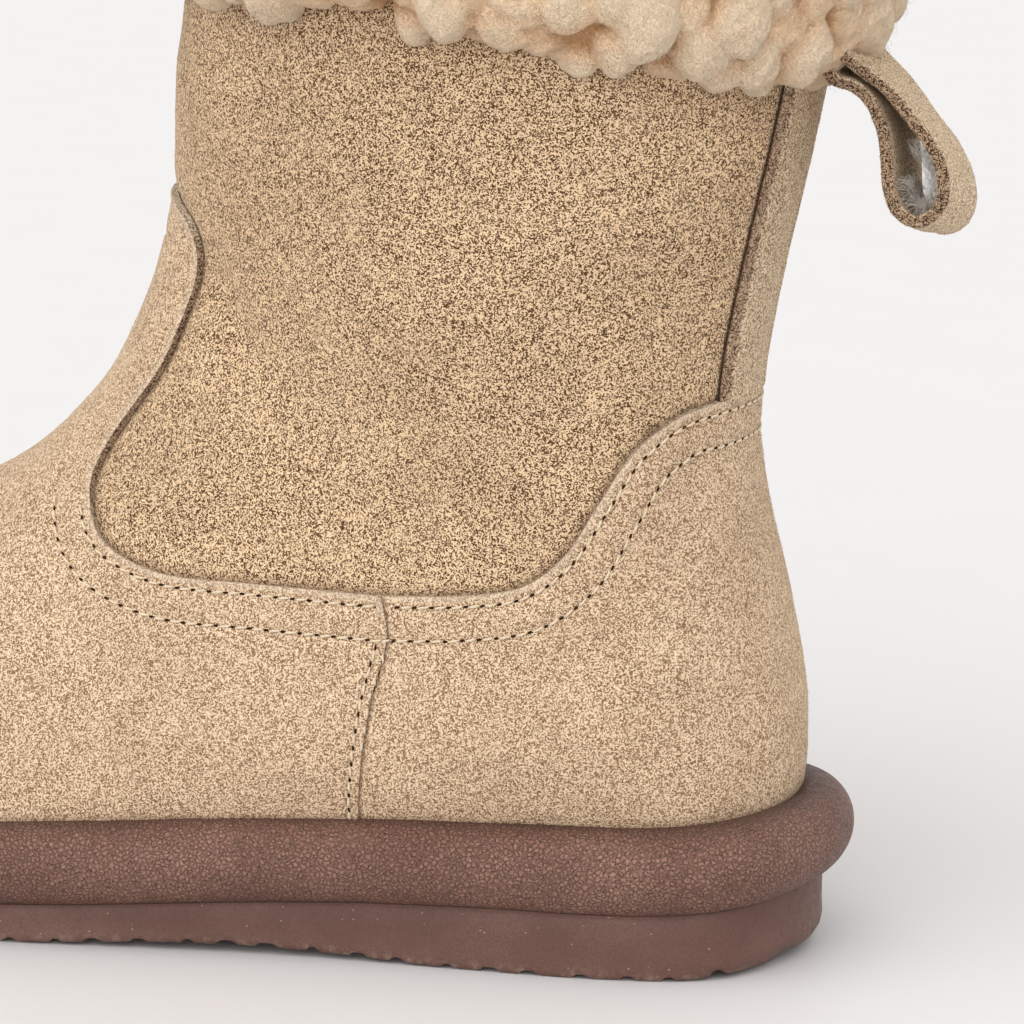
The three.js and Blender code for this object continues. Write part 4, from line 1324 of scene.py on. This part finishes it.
def make_cuff():
    rng = np.random.default_rng(5)
    around, seen = CUFF_MESH
    turn = 2 * np.pi * np.arange(around) / around
    trial = np.linspace(*CUFF_ARC, 400)
    side = cuff_surface(np.full(400, np.pi / 2), trial, PILE)
    gone = lengths_along(side)
    angle = np.interp(np.linspace(0, gone[-1], seen), gone, trial)
    base = cuff_surface(turn[None], angle[:, None], PILE)
    normals = grid_normals(base)
    half = (CUFF_PROUD + CUFF_INSIDE) / 2
    centre = cuff_surface(turn[None], np.array([[0.0]]), half - 0.1)
    if np.mean(np.einsum("ijk,ijk->ij", normals, base - centre)) < 0:
        normals = -normals
    flat, flat_normals = base.reshape(-1, 3), normals.reshape(-1, 3)
    warp = Noise(31)
    warped = flat + CUFF_WARP * np.stack([
        warp(flat + shift, WARP_WIDTH) for shift in (0, 71, 142)], 1)
    big, small = (locks_over(kind, flat, rng)(warped) for kind in ("big", "small"))
    curls = waves("curls", warp, warped)
    sway = CUFF_SWAY * warp(flat * (1, 1, 0.3), SWAY_WIDTH)
    lift = big + small * (0.4 + 0.6 * big / PILE) + curls + sway
    made = flat + flat_normals * lift[:, None]
    made[:, 2] -= CUFF_HANG * (big / PILE - 0.45) * ease(flat_normals[:, 2], -0.1, -0.8)
    ends = np.linspace(0, 1, 5)[1:-1]
    back_fill = [made[-around:] * (1 - s) + made[:around] * s for s in ends]
    filled = np.vstack([made] + back_fill)
    index = np.arange(len(filled)).reshape(-1, around)
    closed = np.vstack([index, index[:1]])
    # Depth is how high the pile stands; the fleece paints shade where it is low.
    depth = np.zeros(len(filled))
    depth[:len(made)] = np.clip(lift / (PILE + 0.6), 0, 1)
    add_piece("cuff_pile", filled, [grid_triangles(closed)], "cuff", "fleece_cuff", ("cuff",),
              depth=depth)
    chance = lift.clip(0.3) ** 2
    picks = rng.choice(len(made), FIBRES["cuff"], p=chance / chance.sum())
    roots = made[picks] + rng.normal(0, 0.3, (len(picks), 3)) - flat_normals[picks] * 0.3
    points, quads, share = ribbons(roots, flat_normals[picks], rng, 2.8, 0.10, 8.0, droop=0.2)
    add_piece("cuff_fibres", points, [quads], "wool", "fleece_cuff", depth=0.6 + 0.4 * share)


def spread(points, spacing, rng):
    """Seeds picked from points so that no two are nearer than the spacing."""
    order = rng.permutation(len(points))[:24000]
    taken = {}
    seeds = []
    for i in order:
        cell = tuple(np.floor(points[i] / spacing).astype(int))
        beside = itertools.product(*(range(c - 1, c + 2) for c in cell))
        near = (seed for key in beside for seed in taken.get(key, ()))
        if all(np.sum((points[i] - seed) ** 2) > (0.82 * spacing) ** 2 for seed in near):
            taken.setdefault(cell, []).append(points[i])
            seeds.append(points[i])
    return np.array(seeds)


def locks_over(kind, points, rng):
    spacing, *shape = LOCKS[kind]
    return Locks(spread(points, spacing, rng), rng, *shape)


def make_lining():
    """The trimmed pile inside the upper, from the toe to under the cuff."""
    rng = np.random.default_rng(8)
    inset = WALL - ROOTS
    net = even_net(tip_row(inset), RIM_ROW + 0.3, 2.8, inset)
    points, normals = net.points(), net.normals()
    pile = locks_over("lining", points, rng)(points)
    made = points - normals * pile[:, None]
    add_piece("lining_pile", made, [net.triangles[:, ::-1]], "lining", "fleece_lining",
              depth=0.25 + 0.4 * pile)


def make_insole():
    """The fleece insole: a soft pad cut to the inside of the upper."""
    rng = np.random.default_rng(9)
    inset = WALL + GAP
    net = even_net(tip_row(inset), HEEL_ROW + 2, 2.0, inset)
    lines = net.lines(lambda n: n.points()[:, 2] - (tray_floor(n.points()[:, 0]) + INSOLE))
    row, turn = max(lines, key=lambda line: len(line[0]))
    loop = last_point(row, turn, inset)
    outer, inner = loop[loop[:, 1] > 0], loop[loop[:, 1] <= 0]
    x = np.linspace(loop[:, 0].min() + 0.1, loop[:, 0].max() - 0.1, 130)
    ends = [np.interp(x, *side[np.argsort(side[:, 0])][:, :2].T) for side in (outer, inner)]
    share = np.linspace(0, 1, 44)
    y = ends[0][:, None] + (ends[1] - ends[0])[:, None] * share
    grid_x = np.broadcast_to(x[:, None], y.shape)
    top = np.stack([grid_x, y, tray_floor(grid_x) + GAP + INSOLE - ROOTS], -1).reshape(-1, 3)
    pile = locks_over("insole", top, rng)(top)
    top[:, 2] += pile
    low = np.stack([grid_x, y, tray_floor(grid_x) + GAP], -1).reshape(-1, 3)
    index = np.arange(len(top)).reshape(y.shape)
    triangles = grid_triangles(index, closed=False)
    rim = np.concatenate([index[0], index[1:, -1], index[-1, -2::-1], index[-2:0:-1, 0]])
    after = np.roll(rim, -1)
    wall = np.stack([rim, after, after + len(top), rim + len(top)], 1)
    both = np.vstack([top, low])
    depth = np.append(0.25 + 0.4 * pile, np.full(len(low), 0.2))
    pad = add_piece("insole_pad", both, [triangles, triangles[:, ::-1] + len(top), wall],
                    "lining", "fleece_lining", ("insole",), depth=depth)


def scatter(points, triangles, normals, count, rng):
    """Roots spread evenly over a skin, and the skin's normals there."""
    a, b, c = (points[triangles[:, k]] for k in range(3))
    area = np.linalg.norm(np.cross(b - a, c - a), axis=1)
    pick = triangles[rng.choice(len(triangles), count, p=area / area.sum())]
    share = rng.dirichlet((1, 1, 1), count)[..., None]
    return (points[pick] * share).sum(1), unit((normals[pick] * share).sum(1))


def add_nap(name, roots, up, rng, material, slot):
    """Short stray fibres that stand on suede."""
    lean = unit(up + 0.7 * rng.normal(size=up.shape))
    points, quads, _ = ribbons(roots - 0.05 * up, lean, rng, 0.8, 0.10, 2.0, steps=1)
    plain = np.zeros(len(points))
    add_piece(name, points, [quads], material, slot, edge=plain + NO_EDGE, shade=plain, cut=plain)


# ---- Sole ----
ROLL_LAP = 1.1                  # how far the outsole's wall goes up behind the roll
ROLL_ARC = (-75, 158)           # degrees of the roll's section that are round
CORNER, HEEL_CORNER = 1.1, 3.6  # rounding of the outsole's lower edge, and how much more behind
TREAD = {"pitch": 9.0, "bow": 5.0, "reach": 62.0, "start": 6.0, "count": 40}


def make_roll():
    """The soft rolled rim of the midsole."""
    half = 330
    share = even_shares(half)
    angles = np.radians(np.linspace(*ROLL_ARC, 44))
    profile = [(ROLL_MIDDLE + ROLL_WIDTH / 2 * math.cos(a), ROLL_HEIGHT / 2 * (1 + math.sin(a)))
               for a in angles]
    profile += [(-8.5, 8.0), (-8.5, 0.2), (-2.0, 0.0), (OUTSOLE_EDGE - GAP - 0.4, 0.0)]
    rings = []
    for out, up in profile:
        flat = plan_ring(share, out)
        rings.append(np.column_stack([flat, joint(flat[:, 0]) + GAP / 2 + up]))
    points = np.array(rings)
    normals = grid_normals(points)
    if normals[10, half // 2, 1] < 0:
        normals = -normals
    flat = points.reshape(-1, 3)
    seen = np.repeat(np.arange(len(profile)) < len(angles), len(share))
    lift = (waves("roll", Noise(41), flat) - WAVES["roll"][0][0]) * seen
    made = flat + normals.reshape(-1, 3) * lift[:, None]
    index = np.arange(len(made)).reshape(len(profile), -1)
    hidden = np.full(len(profile) - len(angles), -90.0)
    level = np.repeat(np.concatenate([np.degrees(angles), hidden]), len(share))
    shade = np.maximum.reduce([0.75 * ease(level, -60, -75), 0.8 * ease(level, 104, 128),
                               0.5 * ease(level, 40, 88)])
    add_piece("midsole_roll", made, [grid_triangles(np.vstack([index, index[:1]]))], "roll",
              "midsole_foam", ("midsole",), shade=shade)


def tread(points):
    """Depth of the curved grooves under the sole, with lugs of uneven width."""
    rng = np.random.default_rng(17)
    bow = TREAD["bow"] * (1 - (points[:, 1] / TREAD["reach"]) ** 2)
    at = (points[:, 0] - bow - TREAD["start"]) / TREAD["pitch"]
    number = np.clip(np.round(at).astype(int) + 2, 0, TREAD["count"] - 1)
    width = rng.uniform(1.5, 3.6, TREAD["count"])[number]
    depth = rng.uniform(0.9, 1.7, TREAD["count"])[number]
    shift = rng.uniform(-0.13, 0.13, TREAD["count"])[number]
    from_groove = np.abs(at - (number - 2) - shift) * TREAD["pitch"]
    groove = depth * ease(from_groove, width / 2 + 0.7, width / 2 - 0.7)
    for x in (HEEL_REST_X, FORE_REST_X):
        groove *= ease(np.hypot(points[:, 0] - x, points[:, 1]), REST_RADIUS, REST_RADIUS + 1.5)
    return groove


def make_outsole():
    half, across = 440, 40
    share = even_shares(half)
    corner = CORNER + HEEL_CORNER * ease(plan_point(share)[:, 0], 34, 8)
    rings = []      # from below upwards: outline, height, and the share of the grooves' depth
    for angle in np.radians((0, 22, 45, 68, 90)):
        flat = plan_ring(share, OUTSOLE_EDGE - corner * (1 - math.sin(angle)))
        up = corner * (1 - math.cos(angle))
        rings.append((flat, ground(flat[:, 0]) + up, 1 - 0.85 * math.sin(angle) ** 2))
    wall = plan_ring(share, OUTSOLE_EDGE)[:, 0]
    low, high = ground(wall) + corner, joint(wall) - GAP / 2
    for level, keep in ((0.12, 0.12), (0.3, 0.0), (0.6, 0.0), (0.97, 0.0)):
        hollow = plan_ring(share, OUTSOLE_EDGE - 0.15 * math.sin(math.pi * level))
        rings.append((hollow, low + (high - low) * level, keep))
    rings.append((plan_ring(share, OUTSOLE_EDGE - 0.5), high + ROLL_LAP, 0.0))
    side = np.array([np.column_stack([flat, z + keep * tread(flat)]) for flat, z, keep in rings])
    outer, inner = facing_halves(side[0, :, :2])
    steps = np.linspace(0, 1, across + 1)[1:-1]
    flat = (outer[:, None] + (inner - outer)[:, None] * steps[:, None]).reshape(-1, 2)
    under = np.column_stack([flat, ground(flat[:, 0]) + tread(flat)])
    points = np.vstack([side.reshape(-1, 3), under])
    index = np.arange(side.shape[0] * side.shape[1]).reshape(side.shape[:2])
    under_index = index.size + np.arange(len(under)).reshape(half + 1, -1)
    outer, inner = facing_halves(index[0])
    net = np.column_stack([outer, under_index, inner])
    net[0], net[-1] = outer[0], outer[-1]
    lid = np.column_stack(facing_halves(index[-1])[::-1])
    triangles = without_slivers(np.concatenate([
        grid_triangles(index)[:, ::-1], grid_triangles(net, closed=False),
        grid_triangles(lid, closed=False)]))
    # 1 at the floor, fading out 2.6 mm above it: where the rubber is paler in patches.
    near_floor = ease(points[:, 2] - ground(points[:, 0]), 2.6, 0.2)
    add_piece("outsole_tread", points, [triangles], "outsole", "outsole_rubber", ("outsole",),
              shade=near_floor)


# ---- Camera, light and floor ----
CAMERA_PLACE = (-0.223, 0.759, 0.239)
CAMERA_TARGET = (0.024, 0, 0.0855)
SENSOR, LENS = 36.0, 141.68     # millimetres
SUNS = (    # name, the place it shines from, power, angle it fills in degrees, tint
    ("key", (0.45, 1.3, 1.0), 1.78, 90, (1, 0.985, 0.97)),
    ("fill", (-1.0, 0.9, 0.9), 0.74, 100, (1, 1, 1)),
)
WORLD, WORLD_POWER = (1.0, 0.985, 0.98, 1), 0.82
FLOOR_REACH = 9.0


def add_object(name, data):
    added = bpy.data.objects.new(name, data)
    bpy.context.collection.objects.link(added)
    return added


def aim(thing, place, target):
    thing.location = place
    thing.rotation_mode = "QUATERNION"
    thing.rotation_quaternion = (Vector(target) - thing.location).to_track_quat("-Z", "Y")


def add_camera():
    camera = add_object("camera", bpy.data.cameras.new("camera"))
    camera.data.sensor_width = SENSOR
    camera.data.lens = LENS
    camera.data.clip_start = 0.05
    aim(camera, CAMERA_PLACE, CAMERA_TARGET)
    bpy.context.scene.camera = camera


def add_studio():
    world = bpy.data.worlds.new("studio")
    bpy.context.scene.world = world
    world.use_nodes = True
    background = world.node_tree.nodes["Background"]
    background.inputs["Color"].default_value = WORLD
    background.inputs["Strength"].default_value = WORLD_POWER
    for name, place, power, angle, tint in SUNS:
        light = add_object(name, bpy.data.lights.new(name, "SUN"))
        light.data.energy = power
        light.data.angle = math.radians(angle)
        light.data.color = tint
        aim(light, place, (0, 0, 0))
    level = CAD_BOX[0].z
    mesh = bpy.data.meshes.new("floor")
    corners = [(x * FLOOR_REACH, y * FLOOR_REACH, level)
               for x, y in ((-1, -1), (1, -1), (1, 1), (-1, 1))]
    mesh.from_pydata(corners, [], [(0, 1, 2, 3)])
    mesh.materials.append(floor_material())
    floor = add_object("floor", mesh)
    bpy.context.scene.view_settings.view_transform = "Standard"


# ---- The boot ----
add_camera()
add_studio()
make_roll()
make_outsole()
make_insole()
make_lining()
make_shaft()
for name, panel, rows in (("vamp", VAMP, (tip_row(-GAP), 14.0)),
                          ("heel_counter", COUNTER, (5.5, 14.2))):
    net, lines = panel_net(panel, *rows)
    make_panel(name, panel, net, panel is VAMP, "panel_suede")
    add_stitches(name + "_stitches", *stitch_places(lines), "panel_suede")
make_back_strip()
make_pull_loop()
make_cuff()
